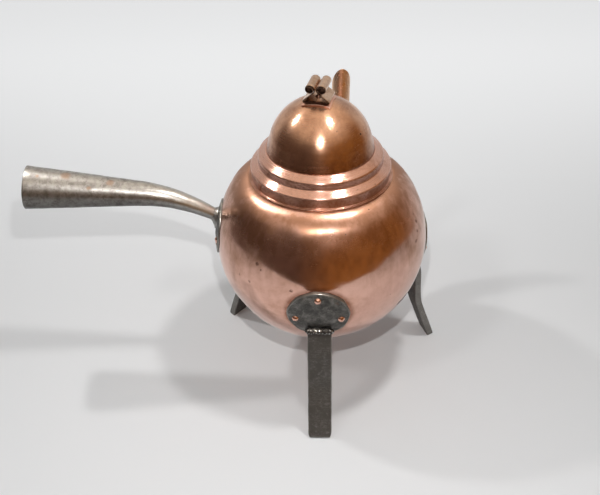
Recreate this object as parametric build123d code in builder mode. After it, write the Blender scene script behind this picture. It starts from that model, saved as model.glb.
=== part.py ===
from build123d import *
import os
from math import acos, asin, atan2, cos, degrees, radians, sin, sqrt, tan

# Copper hearth kettle: a globe on three riveted iron legs, with a spout, a side socket and a lift-off lid.
# Millimetres, +Z up. The origin is on the floor, below the middle of the globe. The handle points to -X.
# Azimuths are degrees from +X towards +Y, latitudes are degrees above the globe's equator.

os.makedirs("parts", exist_ok=True)

# Globe, raised from copper sheet
globe_r = 100.0
globe_z = 152.0
globe_t = 1.4
base_flat_r = 42.0
shoulder_turn = 15.0
shoulder_drop = 6.2

# Collar strip round the neck, with a foot flange on the shoulder and a lapped seam
collar_r = 64.0
collar_t = 1.4
collar_h = 10.0
collar_foot_w = 2.4
collar_foot_t = 1.2
shoulder_land = 0.6
collar_lap_azimuth = 209.0
collar_lap_w = 6.0
collar_lap_t = 0.45

# Stepped ring of the lid: a lip on the collar, two sloped ledges with a step between, and the dome's seat
lid_t = 1.2
lip_overhang = 0.8
lip_h = 0.9
lower_ledge_w = 7.2
upper_ledge_w = 6.7
step_h = 6.6
ledge_slope = 33.0
dome_seat_w = 4.2
ledge_round = 1.4

# Dome of the lid: a conical skirt, set back from the seat's edge, that draws in to a spherical crown
dome_setback = 0.7
dome_draw = 2.0
dome_centre_rise = 1.6

# Sleeve strip under the ring, loose in the neck
sleeve_t = 1.0
sleeve_drop = 9.0
sleeve_gap = 0.5

# Knob: a saddle plate on the dome, and a folded strip with two rolled ends
lid_turn = -14.0
knob_lean = -1.6
saddle_w = 27.0
saddle_l = 24.4
saddle_t = 1.2
saddle_corner_r = 1.5
strip_t = 1.0
strip_w = 22.0
strip_base_w = 30.5
strip_fold_r = 1.1
strip_seat_gap = 0.05
scroll_r = 4.75
scroll_gap = 0.5
scroll_turn_gap = 0.4
scroll_rise = 11.2
scroll_half_turns = 3

# Spout: a tapered tube with a flange on the globe and a slanted mouth, turned a little about the tube
spout_azimuth = 80.6
spout_tube_r = 9.1
spout_root_r = 17.0
spout_t = 1.2
mouth_reach = 29.3
mouth_rise = 97.8
mouth_elevation = 18.0
mouth_turn = 15.0
spout_lean = 12.0
spout_root_lean = 52.0
spout_bend_r = 80.0
spout_parallel_run = 25.0
spout_neck_run = 59.0
spout_root_run = 22.0
spout_taper_power = 1.5
spout_flange_w = 7.0
spout_flange_t = 1.2
spout_stations = 9

# Iron plates, dished to the globe, each held by three rivets
leg_plate_r = 29.0
leg_plate_t = 2.8
handle_plate_r = 26.5
handle_plate_t = 1.5
plate_edge_r = 0.7
leg_rivet_inset = 8.5
handle_rivet_inset = 6.0
rivet_shank_r = 2.0
rivet_tail_r = 3.4
rivet_tail_t = 1.2
leg_rivet_head_r = 3.4
leg_rivet_head_h = 2.5
handle_rivet_head_r = 3.2
handle_rivet_head_h = 1.6
knob_rivet_head_r = 3.0
knob_rivet_head_h = 2.0

# Legs: flat bar, from the weld on its plate down to a square-cut foot
leg_azimuths = {"front_leg": -91.3, "right_leg": 19.8, "left_leg": 140.8}
leg_plate_azimuths = {"front_leg": -91.9, "right_leg": 15.2, "left_leg": 140.8}
leg_plate_latitudes = {"front_leg": -13.5, "right_leg": -10.0, "left_leg": -13.5}
leg_rivet_spread = 100.0
bar_w = 22.0
bar_t = 7.0
bar_top_drop = 42.0
bar_bite = 0.8
hip_out = 0.8
hip_h = 86.0
knee_out = 2.0
knee_h = 50.0
foot_out = 19.2
bar_bend_r = 45.0
sole_wear = 0.75
leg_bead_r = 3.6
leg_bead_step = 5.0
leg_bead_count = 5
leg_bead_lift = 0.9
leg_bead_core_r = 3.0

# Handle: a hollow iron cone on a bent neck, welded to its plate
handle_azimuth = 180.0
handle_plate_latitude = 6.2
handle_rivet_spread = 82.0
neck_latitude = 12.8
neck_slope = 27.5
neck_run = 21.0
neck_r = 5.3
neck_root = 4.0
handle_bend_r = 140.0
socket_slope = 4.2
socket_run = 104.5
socket_mouth_r = 20.5
socket_t = 1.8
socket_depth = 100.0
handle_weld_r = 12.5
handle_weld_run = 9.0
handle_stations = 10

# How far a cut runs past the sheet that it goes through
cut_clear = 3.0

# Heights and radii that follow from the driving sizes
globe_centre = Vector(0, 0, globe_z)
leg_ball_r = globe_r + leg_plate_t
handle_ball_r = globe_r + handle_plate_t
rim_flat_r = collar_r + collar_foot_w + shoulder_land
neck_bore_r = collar_r - collar_t
rim_z = globe_z + sqrt(globe_r**2 - rim_flat_r**2) - shoulder_drop
collar_top_z = rim_z + collar_h


def polar(radius, angle):
    """Point in a sketch at a radius and an angle in degrees."""
    return Vector(radius * cos(radians(angle)), radius * sin(radians(angle)))


def radial_plane(azimuth):
    """Upright plane through the kettle's axis: x outwards at the azimuth, y up."""
    outward = Vector(cos(radians(azimuth)), sin(radians(azimuth)), 0)
    return Plane((0, 0, 0), x_dir=outward, z_dir=outward.cross(Vector(0, 0, 1)))


def globe_plane(azimuth, latitude):
    """Plane that touches the globe: x level, y up the globe, z outwards."""
    level = polar(cos(radians(latitude)), azimuth)
    outward = Vector(level.X, level.Y, sin(radians(latitude)))
    along = Vector(-sin(radians(azimuth)), cos(radians(azimuth)), 0)
    return Plane(globe_centre + outward * globe_r, x_dir=along, z_dir=outward)


def profile_plane(plane):
    """Plane that holds a plane's x and z directions, for a profile turned about its z."""
    return Plane(plane.origin, x_dir=plane.x_dir, z_dir=plane.y_dir * -1)


def rivet_planes(plate, circle_r, lone_angle, spread):
    """Planes on the globe under a plate's rivets: one alone, and one a spread to each side of it."""
    depth = sqrt(globe_r**2 - circle_r**2)
    planes = []
    for angle in (lone_angle, lone_angle - spread, lone_angle + spread):
        place = polar(circle_r, angle)
        outward = (plate.x_dir * place.X + plate.y_dir * place.Y + plate.z_dir * depth) * (1 / globe_r)
        planes.append(Plane(globe_centre + outward * globe_r, x_dir=plate.x_dir, z_dir=outward))
    return planes


def cut_holes(planes, radius, sheet):
    """Cut round holes at the planes, through sheet of the thickness given."""
    for plane in planes:
        with BuildSketch(plane) as hole:
            Circle(radius)
        extrude(hole.sketch, amount=sheet + cut_clear, both=True, mode=Mode.SUBTRACT)


def rivet(plane, seat, ball_r, head_r, head_h):
    """Turn one rivet: a domed head that stands on the seat, and a tail against the inside of a ball.

    The plane lies on the inside of the ball, square to the rivet. The seat's height counts from it.
    """
    tail_y = -(ball_r - sqrt(ball_r**2 - rivet_tail_r**2))
    with BuildSketch(profile_plane(plane)) as half:
        with BuildLine():
            Polyline(
                (head_r, seat),
                (rivet_shank_r, seat),
                (rivet_shank_r, tail_y),
                (rivet_tail_r, tail_y),
                (rivet_tail_r, tail_y - rivet_tail_t),
                (0, tail_y - rivet_tail_t),
                (0, seat + head_h),
            )
            RadiusArc((head_r, seat), (0, seat + head_h), -(head_r**2 + head_h**2) / (2 * head_h))
        make_face()
    revolve(half.sketch, axis=Axis(plane.origin, plane.z_dir))


def plate_rivets(planes, plate_t, head_r, head_h):
    """The three rivets of one plate."""
    with BuildPart() as group:
        for plane in planes:
            rivet(plane.offset(-globe_t), globe_t + plate_t, globe_r - globe_t, head_r, head_h)
    return group.part


def dished_plate(plane, plate_r, plate_t, holes):
    """A round iron plate that lies on the globe, with a softened edge and its rivet holes."""
    with BuildPart() as plate:
        with BuildSketch(plane):
            Circle(plate_r)
        extrude(amount=plate_r, both=True)
        with Locations(globe_centre):
            Sphere(globe_r + plate_t, mode=Mode.INTERSECT)
            Sphere(globe_r, mode=Mode.SUBTRACT)
        fillet(plate.edges().sort_by(Axis(plane.origin, plane.z_dir))[-1], radius=plate_edge_r)
        cut_holes(holes, rivet_shank_r, plate_t)
    return plate.part


def save(part, name):
    """Label a finished piece and write it."""
    part.label = name
    export_step(part, f"parts/{name}.step")


# Spout route, from above the mouth down to the root inside the globe, in the spout's upright plane
spout_plane = radial_plane(spout_azimuth)
mouth_mid = Vector(globe_r + mouth_reach, globe_z + mouth_rise)
beak_run = spout_tube_r / tan(radians(spout_lean + mouth_elevation)) + spout_tube_r
spout_top = mouth_mid + polar(beak_run, 90 - spout_lean)
with BuildLine(spout_plane) as spout_route:
    upper = PolarLine(tuple(spout_top), beak_run + spout_neck_run, -90 - spout_lean)
    bend = JernArc(upper @ 1, upper % 1, spout_bend_r, spout_lean - spout_root_lean)
    root = PolarLine(bend @ 1, spout_root_run, -90 - spout_root_lean)
spout_line = spout_route.wire()
spout_length = spout_line.length


def spout_radius(run):
    """Outer radius of the spout at a run from its top: even past the mouth, then widening to the root."""
    parallel = beak_run + spout_parallel_run
    widening = max(0.0, run - parallel) / (spout_length - parallel)
    return spout_tube_r + (spout_root_r - spout_tube_r) * widening**spout_taper_power


def spout_loft(inset):
    """Solid along the spout's route, inset from its outside."""
    with BuildPart() as body:
        for index in range(spout_stations):
            place = index / (spout_stations - 1)
            origin = spout_line @ place
            with BuildSketch(Plane(origin, x_dir=spout_plane.z_dir, z_dir=spout_line % place)):
                Circle(spout_radius(place * spout_length) - inset)
        loft()
    return body.part


spout_bore = spout_loft(spout_t)
spout_root_plane = Plane(spout_line @ 1, x_dir=spout_plane.z_dir, z_dir=(spout_line % 1) * -1)
mouth_outward = polar(1, mouth_elevation)
mouth_normal = spout_plane.x_dir * mouth_outward.X + spout_plane.y_dir * mouth_outward.Y
spout_axis = Axis(spout_plane.from_local_coords(mouth_mid), (spout_line % 0) * -1)
mouth_plane = Plane(spout_axis.position, z_dir=mouth_normal.rotate(spout_axis, mouth_turn))

with BuildPart() as spout:
    with BuildSketch(spout_root_plane):
        Circle(spout_root_r + spout_flange_w)
    extrude(amount=globe_r)
    with Locations(globe_centre):
        Sphere(globe_r + spout_flange_t, mode=Mode.INTERSECT)
    add(spout_loft(0))
    add(spout_bore, mode=Mode.SUBTRACT)
    with Locations(globe_centre):
        Sphere(globe_r, mode=Mode.SUBTRACT)
    split(bisect_by=mouth_plane, keep=Keep.BOTTOM)
save(spout.part, "spout")

# Plates and rivets: the lone rivet is above each leg's bar, and below the handle's neck
rivet_sites = {}
for leg in leg_azimuths:
    plate_plane = globe_plane(leg_plate_azimuths[leg], leg_plate_latitudes[leg])
    rivet_sites[leg] = rivet_planes(plate_plane, leg_plate_r - leg_rivet_inset, 90, leg_rivet_spread)
    leg_rivets = plate_rivets(rivet_sites[leg], leg_plate_t, leg_rivet_head_r, leg_rivet_head_h)
    save(dished_plate(plate_plane, leg_plate_r, leg_plate_t, rivet_sites[leg]), f"{leg}_plate")
    save(leg_rivets, f"{leg}_rivets")

plate_plane = globe_plane(handle_azimuth, handle_plate_latitude)
handle_sites = rivet_planes(plate_plane, handle_plate_r - handle_rivet_inset, -90, handle_rivet_spread)
rivet_sites["handle"] = handle_sites
handle_rivets = plate_rivets(handle_sites, handle_plate_t, handle_rivet_head_r, handle_rivet_head_h)
save(dished_plate(plate_plane, handle_plate_r, handle_plate_t, handle_sites), "handle_plate")
save(handle_rivets, "handle_rivets")

# Globe: the shoulder's arc leaves the globe below the neck and ends on the flat rim under the collar
shoulder_latitude = degrees(acos(rim_flat_r / globe_r)) - shoulder_turn
shoulder_start = polar(globe_r, shoulder_latitude) + Vector(0, globe_z)
shoulder_normal = polar(1, shoulder_latitude)
shoulder_chord = Vector(rim_flat_r, rim_z) - shoulder_start
shoulder_r = -shoulder_chord.dot(shoulder_chord) / (2 * shoulder_chord.dot(shoulder_normal))
shoulder_centre = shoulder_start - shoulder_normal * shoulder_r


def globe_half(inset):
    """The globe's half section, inset from its outside: base, globe, shoulder, flat rim and axis."""
    ball = globe_r - inset
    turn = shoulder_r - inset
    base_z = globe_z - sqrt(globe_r**2 - base_flat_r**2) + inset
    base_angle = degrees(asin((base_z - globe_z) / ball))
    rim_angle = degrees(asin((rim_z - inset - shoulder_centre.Y) / turn))
    with BuildSketch(Plane.XZ) as half:
        with BuildLine():
            side = CenterArc((0, globe_z), ball, base_angle, shoulder_latitude - base_angle)
            top = CenterArc(shoulder_centre, turn, shoulder_latitude, rim_angle - shoulder_latitude)
            Polyline(top @ 1, (0, rim_z - inset), (0, base_z), side @ 0)
        make_face()
    return half.sketch


with BuildPart() as body_shell:
    revolve(globe_half(0), axis=Axis.Z)
    revolve(globe_half(globe_t), axis=Axis.Z, mode=Mode.SUBTRACT)
    with BuildSketch(Plane.XY.offset(rim_z)):
        Circle(neck_bore_r)
    extrude(amount=globe_t + cut_clear, both=True, mode=Mode.SUBTRACT)
    for sites in rivet_sites.values():
        cut_holes(sites, rivet_shank_r, globe_t)
    add(spout_bore, mode=Mode.SUBTRACT)
save(body_shell.part, "body_shell")

# Collar
collar_foot_top = rim_z + collar_foot_t
lap_out = polar(collar_r + collar_lap_t / 2, collar_lap_azimuth)
lap_plane = Plane((lap_out.X, lap_out.Y, collar_foot_top), x_dir=lap_out, z_dir=(0, 0, 1))
with BuildPart() as neck_collar:
    with BuildSketch(Plane.XZ):
        with BuildLine():
            Polyline(
                (neck_bore_r, rim_z),
                (collar_r + collar_foot_w, rim_z),
                (collar_r + collar_foot_w, collar_foot_top),
                (collar_r, collar_foot_top),
                (collar_r, collar_top_z),
                (neck_bore_r, collar_top_z),
                close=True,
            )
        make_face()
    revolve(axis=Axis.Z)
    with BuildSketch(lap_plane):
        Rectangle(collar_lap_t + collar_t, collar_lap_w, align=(Align.MAX, Align.CENTER))
    extrude(amount=collar_h - collar_foot_t)
save(neck_collar.part, "neck_collar")

# Stepped ring of the lid, drawn along the middle of its sheet from the lip up to the dome's seat
lip_r = collar_r + lip_overhang - lid_t / 2
step_r = lip_r - lower_ledge_w
seat_r = step_r - upper_ledge_w
lower_ledge_z = collar_top_z + lip_h
step_foot_z = lower_ledge_z + lower_ledge_w * tan(radians(ledge_slope))
step_top_z = step_foot_z + step_h
seat_mid_z = step_top_z + upper_ledge_w * tan(radians(ledge_slope))
seat_z = seat_mid_z + lid_t / 2
with BuildPart() as lid_flange:
    with BuildSketch(Plane.XZ):
        with BuildLine():
            FilletPolyline(
                (lip_r, collar_top_z),
                (lip_r, lower_ledge_z),
                (step_r, step_foot_z),
                (step_r, step_top_z),
                (seat_r, seat_mid_z),
                (seat_r - dome_seat_w, seat_mid_z),
                radius=ledge_round,
            )
        trace(line_width=lid_t)
    revolve(axis=Axis.Z)
save(lid_flange.part, "lid_flange")

# Dome: the skirt's line touches the crown's circle, and its foot is cut level on the seat
dome_foot_r = seat_r - dome_setback
dome_r = dome_foot_r - dome_draw
crown_z = seat_z + dome_centre_rise
crown_mid_r = dome_r - lid_t / 2
skirt_foot = Vector(dome_foot_r - lid_t / 2, -dome_centre_rise)
skirt_angle = degrees(atan2(skirt_foot.Y, skirt_foot.X) + acos(crown_mid_r / skirt_foot.length))
skirt_top = polar(crown_mid_r, skirt_angle)
skirt_end = skirt_foot + (skirt_foot - skirt_top).normalized() * lid_t
crown_plane = Plane((0, 0, crown_z), x_dir=(1, 0, 0), z_dir=(0, -1, 0))
knob_plane = Plane((0, 0, crown_z), x_dir=polar(1, lid_turn), z_dir=(0, 0, 1)).rotated((0, knob_lean, 0))
knob_rivet_plane = knob_plane.offset(dome_r - lid_t)
with BuildPart() as lid_dome:
    with BuildSketch(crown_plane):
        with BuildLine():
            Line(skirt_end, skirt_top)
            CenterArc((0, 0), crown_mid_r, skirt_angle, 90 - skirt_angle)
        trace(line_width=lid_t)
    revolve(axis=Axis.Z)
    split(bisect_by=Plane.XY.offset(seat_z), keep=Keep.TOP)
    cut_holes([knob_rivet_plane], rivet_shank_r, lid_t)
save(lid_dome.part, "lid_dome")


def ring_underside(radius):
    """Height of the underside of the ring's lower ledge at a radius."""
    slope = radians(ledge_slope)
    return lower_ledge_z + (lip_r - radius) * tan(slope) - lid_t / 2 / cos(slope)


# Sleeve: its top edge follows the slope under the lower ledge
sleeve_r = neck_bore_r - sleeve_gap
sleeve_in_r = sleeve_r - sleeve_t
with BuildPart() as lid_sleeve:
    with BuildSketch(Plane.XZ):
        with BuildLine():
            Polyline(
                (sleeve_in_r, collar_top_z - sleeve_drop),
                (sleeve_r, collar_top_z - sleeve_drop),
                (sleeve_r, ring_underside(sleeve_r)),
                (sleeve_in_r, ring_underside(sleeve_in_r)),
                close=True,
            )
        make_face()
    revolve(axis=Axis.Z)
save(lid_sleeve.part, "lid_sleeve")

# Knob: saddle on the crown, strip on the saddle, one rivet through both
with BuildPart() as knob_saddle:
    with BuildSketch(knob_plane):
        RectangleRounded(saddle_w, saddle_l, saddle_corner_r)
    extrude(amount=dome_r * 2)
    with Locations(knob_plane.origin):
        Sphere(dome_r + saddle_t, mode=Mode.INTERSECT)
        Sphere(dome_r, mode=Mode.SUBTRACT)
    cut_holes([knob_rivet_plane], rivet_shank_r, lid_t + saddle_t)
save(knob_saddle.part, "knob_saddle")

# The strip's middle line: a base bent over the saddle, two walls that lean together, and a roll at each end
strip_base_r = dome_r + saddle_t + strip_seat_gap + strip_t / 2
base_half_angle = degrees(asin(strip_base_w / 2 / strip_base_r))
base_end = polar(strip_base_r, 90 + base_half_angle)
scroll_mid_r = scroll_r - strip_t / 2
scroll_centre = Vector(-scroll_r - scroll_gap / 2, strip_base_r + scroll_rise)
to_scroll = scroll_centre - base_end
wall_angle = degrees(atan2(to_scroll.Y, to_scroll.X) - asin(scroll_mid_r / to_scroll.length))
wall_length = sqrt(to_scroll.length**2 - scroll_mid_r**2)
scroll_step = (strip_t + scroll_turn_gap) / 2
with BuildPart() as knob_scroll:
    with BuildSketch(profile_plane(knob_plane)):
        with BuildLine() as strip_line:
            Line(base_end, base_end + polar(wall_length, wall_angle))
            arc_centre = scroll_centre
            arc_start = wall_angle - 90
            for half_turn in range(scroll_half_turns):
                CenterArc(arc_centre, scroll_mid_r - half_turn * scroll_step, arc_start, 180)
                arc_start += 180
                arc_centre = arc_centre + polar(scroll_step, arc_start)
            mirror(about=Plane.YZ)
            CenterArc((0, 0), strip_base_r, 90 - base_half_angle, 2 * base_half_angle)
            fillet(strip_line.vertices().group_by(Axis.Y)[0], radius=strip_fold_r)
        trace(line_width=strip_t)
    extrude(amount=strip_w / 2, both=True)
    cut_holes([knob_rivet_plane], rivet_shank_r, lid_t + saddle_t + strip_t)
save(knob_scroll.part, "knob_scroll")

with BuildPart() as knob_rivet:
    strip_top = lid_t + saddle_t + strip_seat_gap + strip_t
    rivet(knob_rivet_plane, strip_top, dome_r - lid_t, knob_rivet_head_r, knob_rivet_head_h)
save(knob_rivet.part, "knob_rivet")

# Legs: the bar leans on its plate at the top, bends out at the knee and ends on a worn sole
foot_slope = atan2(foot_out - knee_out, knee_h)
bar_top = Vector(sqrt(leg_ball_r**2 - bar_top_drop**2) - bar_bite + bar_t / 2, globe_z - bar_top_drop)
bar_foot = Vector(globe_r + foot_out, bar_t / 2 * sin(foot_slope) - sole_wear)
bead_line = bar_top + Vector(leg_bead_lift, leg_bead_lift)
bead_span = (leg_bead_count - 1) * leg_bead_step
for leg, azimuth in leg_azimuths.items():
    leg_plane = radial_plane(azimuth)
    with BuildPart() as leg_bar:
        with BuildSketch(leg_plane):
            with BuildLine():
                FilletPolyline(
                    bar_top,
                    (globe_r + hip_out, hip_h),
                    (globe_r + knee_out, knee_h),
                    bar_foot,
                    radius=bar_bend_r,
                )
            trace(line_width=bar_t)
        extrude(amount=bar_w / 2, both=True)
        with Locations(globe_centre):
            Sphere(leg_ball_r, mode=Mode.SUBTRACT)
        split(bisect_by=Plane.XY, keep=Keep.TOP)
    save(leg_bar.part, f"{leg}_bar")

    with BuildPart() as leg_weld:
        with BuildSketch(leg_plane):
            with Locations(bead_line):
                Circle(leg_bead_core_r)
        extrude(amount=bead_span / 2, both=True)
        for index in range(leg_bead_count):
            across = index * leg_bead_step - bead_span / 2
            with Locations(leg_plane.from_local_coords(Vector(bead_line.X, bead_line.Y, across))):
                Sphere(leg_bead_r)
        with Locations(globe_centre):
            Sphere(leg_ball_r, mode=Mode.SUBTRACT)
        add(leg_bar.part, mode=Mode.SUBTRACT)
    save(leg_weld.part, f"{leg}_weld")

# Handle route, from inside its plate along the neck, round the bend and out to the mouth of the socket
handle_plane = radial_plane(handle_azimuth)
neck_start = polar(handle_ball_r, neck_latitude) + Vector(0, globe_z) - polar(neck_root, neck_slope)
with BuildLine(handle_plane) as handle_route:
    neck = PolarLine(tuple(neck_start), neck_root + neck_run, neck_slope)
    elbow = JernArc(neck @ 1, neck % 1, handle_bend_r, socket_slope - neck_slope)
    socket = PolarLine(elbow @ 1, socket_run, socket_slope)
handle_line = handle_route.wire()


def handle_section(place):
    """Plane across the handle at a share of its route."""
    return Plane(handle_line @ place, x_dir=handle_plane.z_dir, z_dir=handle_line % place)


def handle_radius(place):
    """Outer radius of the handle at a share of its route: an even taper from mouth to neck."""
    return neck_r + (socket_mouth_r - neck_r) * place


socket_floor = 1 - socket_depth / handle_line.length
with BuildPart() as handle_socket:
    for index in range(handle_stations):
        share = index / (handle_stations - 1)
        with BuildSketch(handle_section(share)):
            Circle(handle_radius(share))
    loft()
    with Locations(globe_centre):
        Sphere(handle_ball_r, mode=Mode.SUBTRACT)
    for share in (socket_floor, 1):
        with BuildSketch(handle_section(share)):
            Circle(handle_radius(share) - socket_t)
    loft(mode=Mode.SUBTRACT)
save(handle_socket.part, "handle_socket")

with BuildPart() as handle_weld:
    with BuildSketch(handle_section(0)):
        Circle(handle_weld_r)
    with BuildSketch(handle_section(0).offset(handle_weld_run)):
        Circle(neck_r)
    loft()
    with Locations(globe_centre):
        Sphere(handle_ball_r, mode=Mode.SUBTRACT)
    add(handle_socket.part, mode=Mode.SUBTRACT)
save(handle_weld.part, "handle_weld")
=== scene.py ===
"""Copper hearth kettle on three iron legs: its looks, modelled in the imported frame."""
import logging
import math
from dataclasses import dataclass
from enum import Enum
from typing import Any, Callable, Self, Sequence

import bmesh
import bpy
from bmesh.types import BMEdge, BMVert
from mathutils import Matrix, Vector, noise


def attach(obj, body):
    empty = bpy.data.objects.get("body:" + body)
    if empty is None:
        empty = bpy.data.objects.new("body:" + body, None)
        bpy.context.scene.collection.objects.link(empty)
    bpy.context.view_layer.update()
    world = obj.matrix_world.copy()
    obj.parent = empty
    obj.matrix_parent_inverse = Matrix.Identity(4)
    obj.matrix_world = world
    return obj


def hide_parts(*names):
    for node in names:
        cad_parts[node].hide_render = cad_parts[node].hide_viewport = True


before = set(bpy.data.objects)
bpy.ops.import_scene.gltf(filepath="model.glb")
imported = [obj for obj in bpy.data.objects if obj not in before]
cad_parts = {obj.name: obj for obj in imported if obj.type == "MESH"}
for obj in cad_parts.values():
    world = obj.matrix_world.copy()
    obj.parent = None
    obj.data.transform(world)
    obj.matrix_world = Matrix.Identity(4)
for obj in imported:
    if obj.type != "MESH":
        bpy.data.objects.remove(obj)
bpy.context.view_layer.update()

MM = 0.001
UP = Vector((0.0, 0.0, 1.0))
ORIGIN = Vector((0.0, 0.0, 0.0))
Colour = tuple[float, float, float, float]
Place = tuple[float, float, float]
Spot = tuple[Place, float]
Inputs = dict[Any, Any]
Socket = bpy.types.NodeSocket
ROUND_STEPS = 192
log = logging.getLogger("kettle")


def tint(red: float, green: float, blue: float) -> Colour:
    """Opaque linear colour."""
    return (red, green, blue, 1.0)


BLACK = tint(0.0, 0.0, 0.0)


def polar(radius: float, angle: float) -> Vector:
    """Point of an upright section at a radius and an angle in degrees from its x."""
    return Vector((radius * math.cos(math.radians(angle)), 0.0, radius * math.sin(math.radians(angle))))


def outwards(azimuth: float) -> Vector:
    """Level direction away from the kettle's axis, at an azimuth in degrees."""
    return Vector((math.cos(math.radians(azimuth)), math.sin(math.radians(azimuth)), 0.0))


def spot(across: float, height: float) -> Vector:
    """Point of an upright section."""
    return Vector((across, 0.0, height))


def axes(x: Vector, y: Vector, z: Vector, origin: Vector) -> Matrix:
    """Matrix that carries the axes of a piece to the directions and the origin given."""
    return Matrix([(x[i], y[i], z[i], origin[i]) for i in range(3)] + [(0.0, 0.0, 0.0, 1.0)])


class Body(Enum):
    """What a piece moves with."""

    KETTLE = "kettle"
    LID = "lid"


class Workpiece:
    """A mesh on the bench, in millimetres, until it is finished as a piece of the kettle."""

    def __init__(self) -> None:
        """Start with nothing on the bench."""
        self.mesh = bmesh.new()
        self.pen: BMVert | None = None

    def start(self, point: Vector) -> Self:
        """Set the pen down at a point."""
        self.pen = self.mesh.verts.new(point)
        return self

    def line(self, goal: Vector, steps: int = 1) -> Self:
        """Draw a straight run.

        Args:
            goal: Where the pen ends.
            steps: How many edges the run has.

        Returns:
            The workpiece.
        """
        origin = self.pen.co.copy()
        for step in range(1, steps + 1):
            self.pen = bmesh.ops.extrude_vert_indiv(self.mesh, verts=[self.pen])["verts"][0]
            self.pen.co = origin.lerp(goal, step / steps)
        return self

    def arc(self, centre: Vector, turn: float, steps: int) -> Self:
        """Carry the pen round a centre.

        Args:
            centre: Centre in the section.
            turn: Degrees, from x towards z.
            steps: How many edges the arc has.

        Returns:
            The workpiece.
        """
        made = bmesh.ops.spin(self.mesh, geom=[self.pen], cent=centre, axis=(0, -1, 0), dvec=(0, 0, 0),
                              angle=math.radians(turn), steps=steps, use_merge=False)
        self.pen = next(item for item in made["geom_last"] if isinstance(item, BMVert))
        return self

    def rounded(self, corners: Sequence[Vector], radius: float, steps: int = 5,
                run_steps: int = 3) -> Self:
        """Draw straight runs with a rounded corner at every point but the last.

        Args:
            corners: The corners and the end of the run.
            radius: Radius of the corners.
            steps: Edges in each corner.
            run_steps: Edges in each straight run.

        Returns:
            The workpiece.
        """
        for corner, after in zip(corners, corners[1:]):
            back = (self.pen.co - corner).normalized()
            ahead = (after - corner).normalized()
            half = back.angle(ahead) / 2
            centre = corner + (back + ahead).normalized() * (radius / math.sin(half))
            left = back.z * ahead.x - back.x * ahead.z
            self.line(corner + back * (radius / math.tan(half)), steps=run_steps)
            self.arc(centre, math.copysign(180 - math.degrees(2 * half), left), steps=steps)
        return self.line(corners[-1], steps=run_steps)

    def turn(self, steps: int) -> Self:
        """Turn the drawn line a full round about the upright axis.

        Args:
            steps: Faces round.

        Returns:
            The workpiece.
        """
        geometry = self.mesh.verts[:] + self.mesh.edges[:]
        bmesh.ops.spin(self.mesh, geom=geometry, cent=(0, 0, 0), axis=(0, 0, 1), dvec=(0, 0, 0),
                       angle=math.tau, steps=steps, use_merge=True)
        return self.weld()

    def weld(self) -> Self:
        """Merge doubles and point all faces the same way.

        Returns:
            The workpiece.
        """
        bmesh.ops.remove_doubles(self.mesh, verts=self.mesh.verts, dist=0.004)
        bmesh.ops.recalc_face_normals(self.mesh, faces=self.mesh.faces)
        self.mesh.normal_update()
        return self

    def face_away(self, core: Vector) -> Self:
        """Turn the skin so that most of it looks away from a point.

        Args:
            core: The point to look away from.

        Returns:
            The workpiece.
        """
        outlook = sum(face.normal.dot(face.calc_center_median() - core) * face.calc_area()
                      for face in self.mesh.faces)
        if outlook < 0:
            bmesh.ops.reverse_faces(self.mesh, faces=self.mesh.faces)
        self.mesh.normal_update()
        return self

    def hoop(self, sides: int) -> list[BMEdge]:
        """Lay down a ring of radius one and give its edges."""
        verts = bmesh.ops.create_circle(self.mesh, cap_ends=False, radius=1.0, segments=sides)["verts"]
        return list({edge for vert in verts for edge in vert.link_edges})

    def sheet(self, width: float, depth: float, columns: int = 1, rows: int = 1) -> list[BMVert]:
        """Lay down a level rectangle round the origin.

        Args:
            width: Size along x.
            depth: Size along y.
            columns: Faces along x.
            rows: Faces along y.

        Returns:
            Its vertices.
        """
        verts = bmesh.ops.create_grid(self.mesh, x_segments=columns, y_segments=rows, size=0.5)["verts"]
        bmesh.ops.scale(self.mesh, vec=(width, depth, 1.0), verts=verts)
        return verts

    def bevel(self, geometry: Sequence[Any], width: float, segments: int, affect: str) -> None:
        """Round edges, or the corners of a face at its vertices."""
        bmesh.ops.bevel(self.mesh, geom=geometry, offset=width, offset_type="OFFSET", segments=segments,
                        profile=0.5, affect=affect, material=-1, clamp_overlap=True)

    def bar_end(self, width: float, depth: float, corner: float, steps: int) -> list[BMEdge]:
        """Lay down the end face of a flat bar and give its edges.

        Args:
            width: Size along x.
            depth: Size along y.
            corner: Radius of the worn corners.
            steps: Edges in each corner.

        Returns:
            The edges round the face.
        """
        self.bevel(self.sheet(width, depth), width=corner, segments=steps, affect="VERTICES")
        long = [edge for edge in self.mesh.edges if edge.calc_length() > width / 2]
        bmesh.ops.subdivide_edges(self.mesh, edges=long, cuts=7)
        return [edge for edge in self.mesh.edges if edge.is_boundary]

    def sweep(self, edges: list[BMEdge], places: Sequence[Matrix]) -> list[BMEdge]:
        """Draw a ring of edges through a row of places.

        Args:
            edges: The ring, in its own flat frame.
            places: Where the ring stands, one after the other.

        Returns:
            The edges of the last ring.
        """
        verts = list({vert for edge in edges for vert in edge.verts})
        bmesh.ops.transform(self.mesh, matrix=places[0], verts=verts)
        for before, after in zip(places, places[1:]):
            made = bmesh.ops.extrude_edge_only(self.mesh, edges=edges)["geom"]
            verts = [item for item in made if isinstance(item, BMVert)]
            edges = [item for item in made if isinstance(item, BMEdge)]
            bmesh.ops.transform(self.mesh, matrix=after @ before.inverted(), verts=verts)
        return edges

    def close(self, edges: list[BMEdge]) -> Self:
        """Shut a ring of edges with a face."""
        bmesh.ops.edgeloop_fill(self.mesh, edges=edges)
        return self

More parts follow.
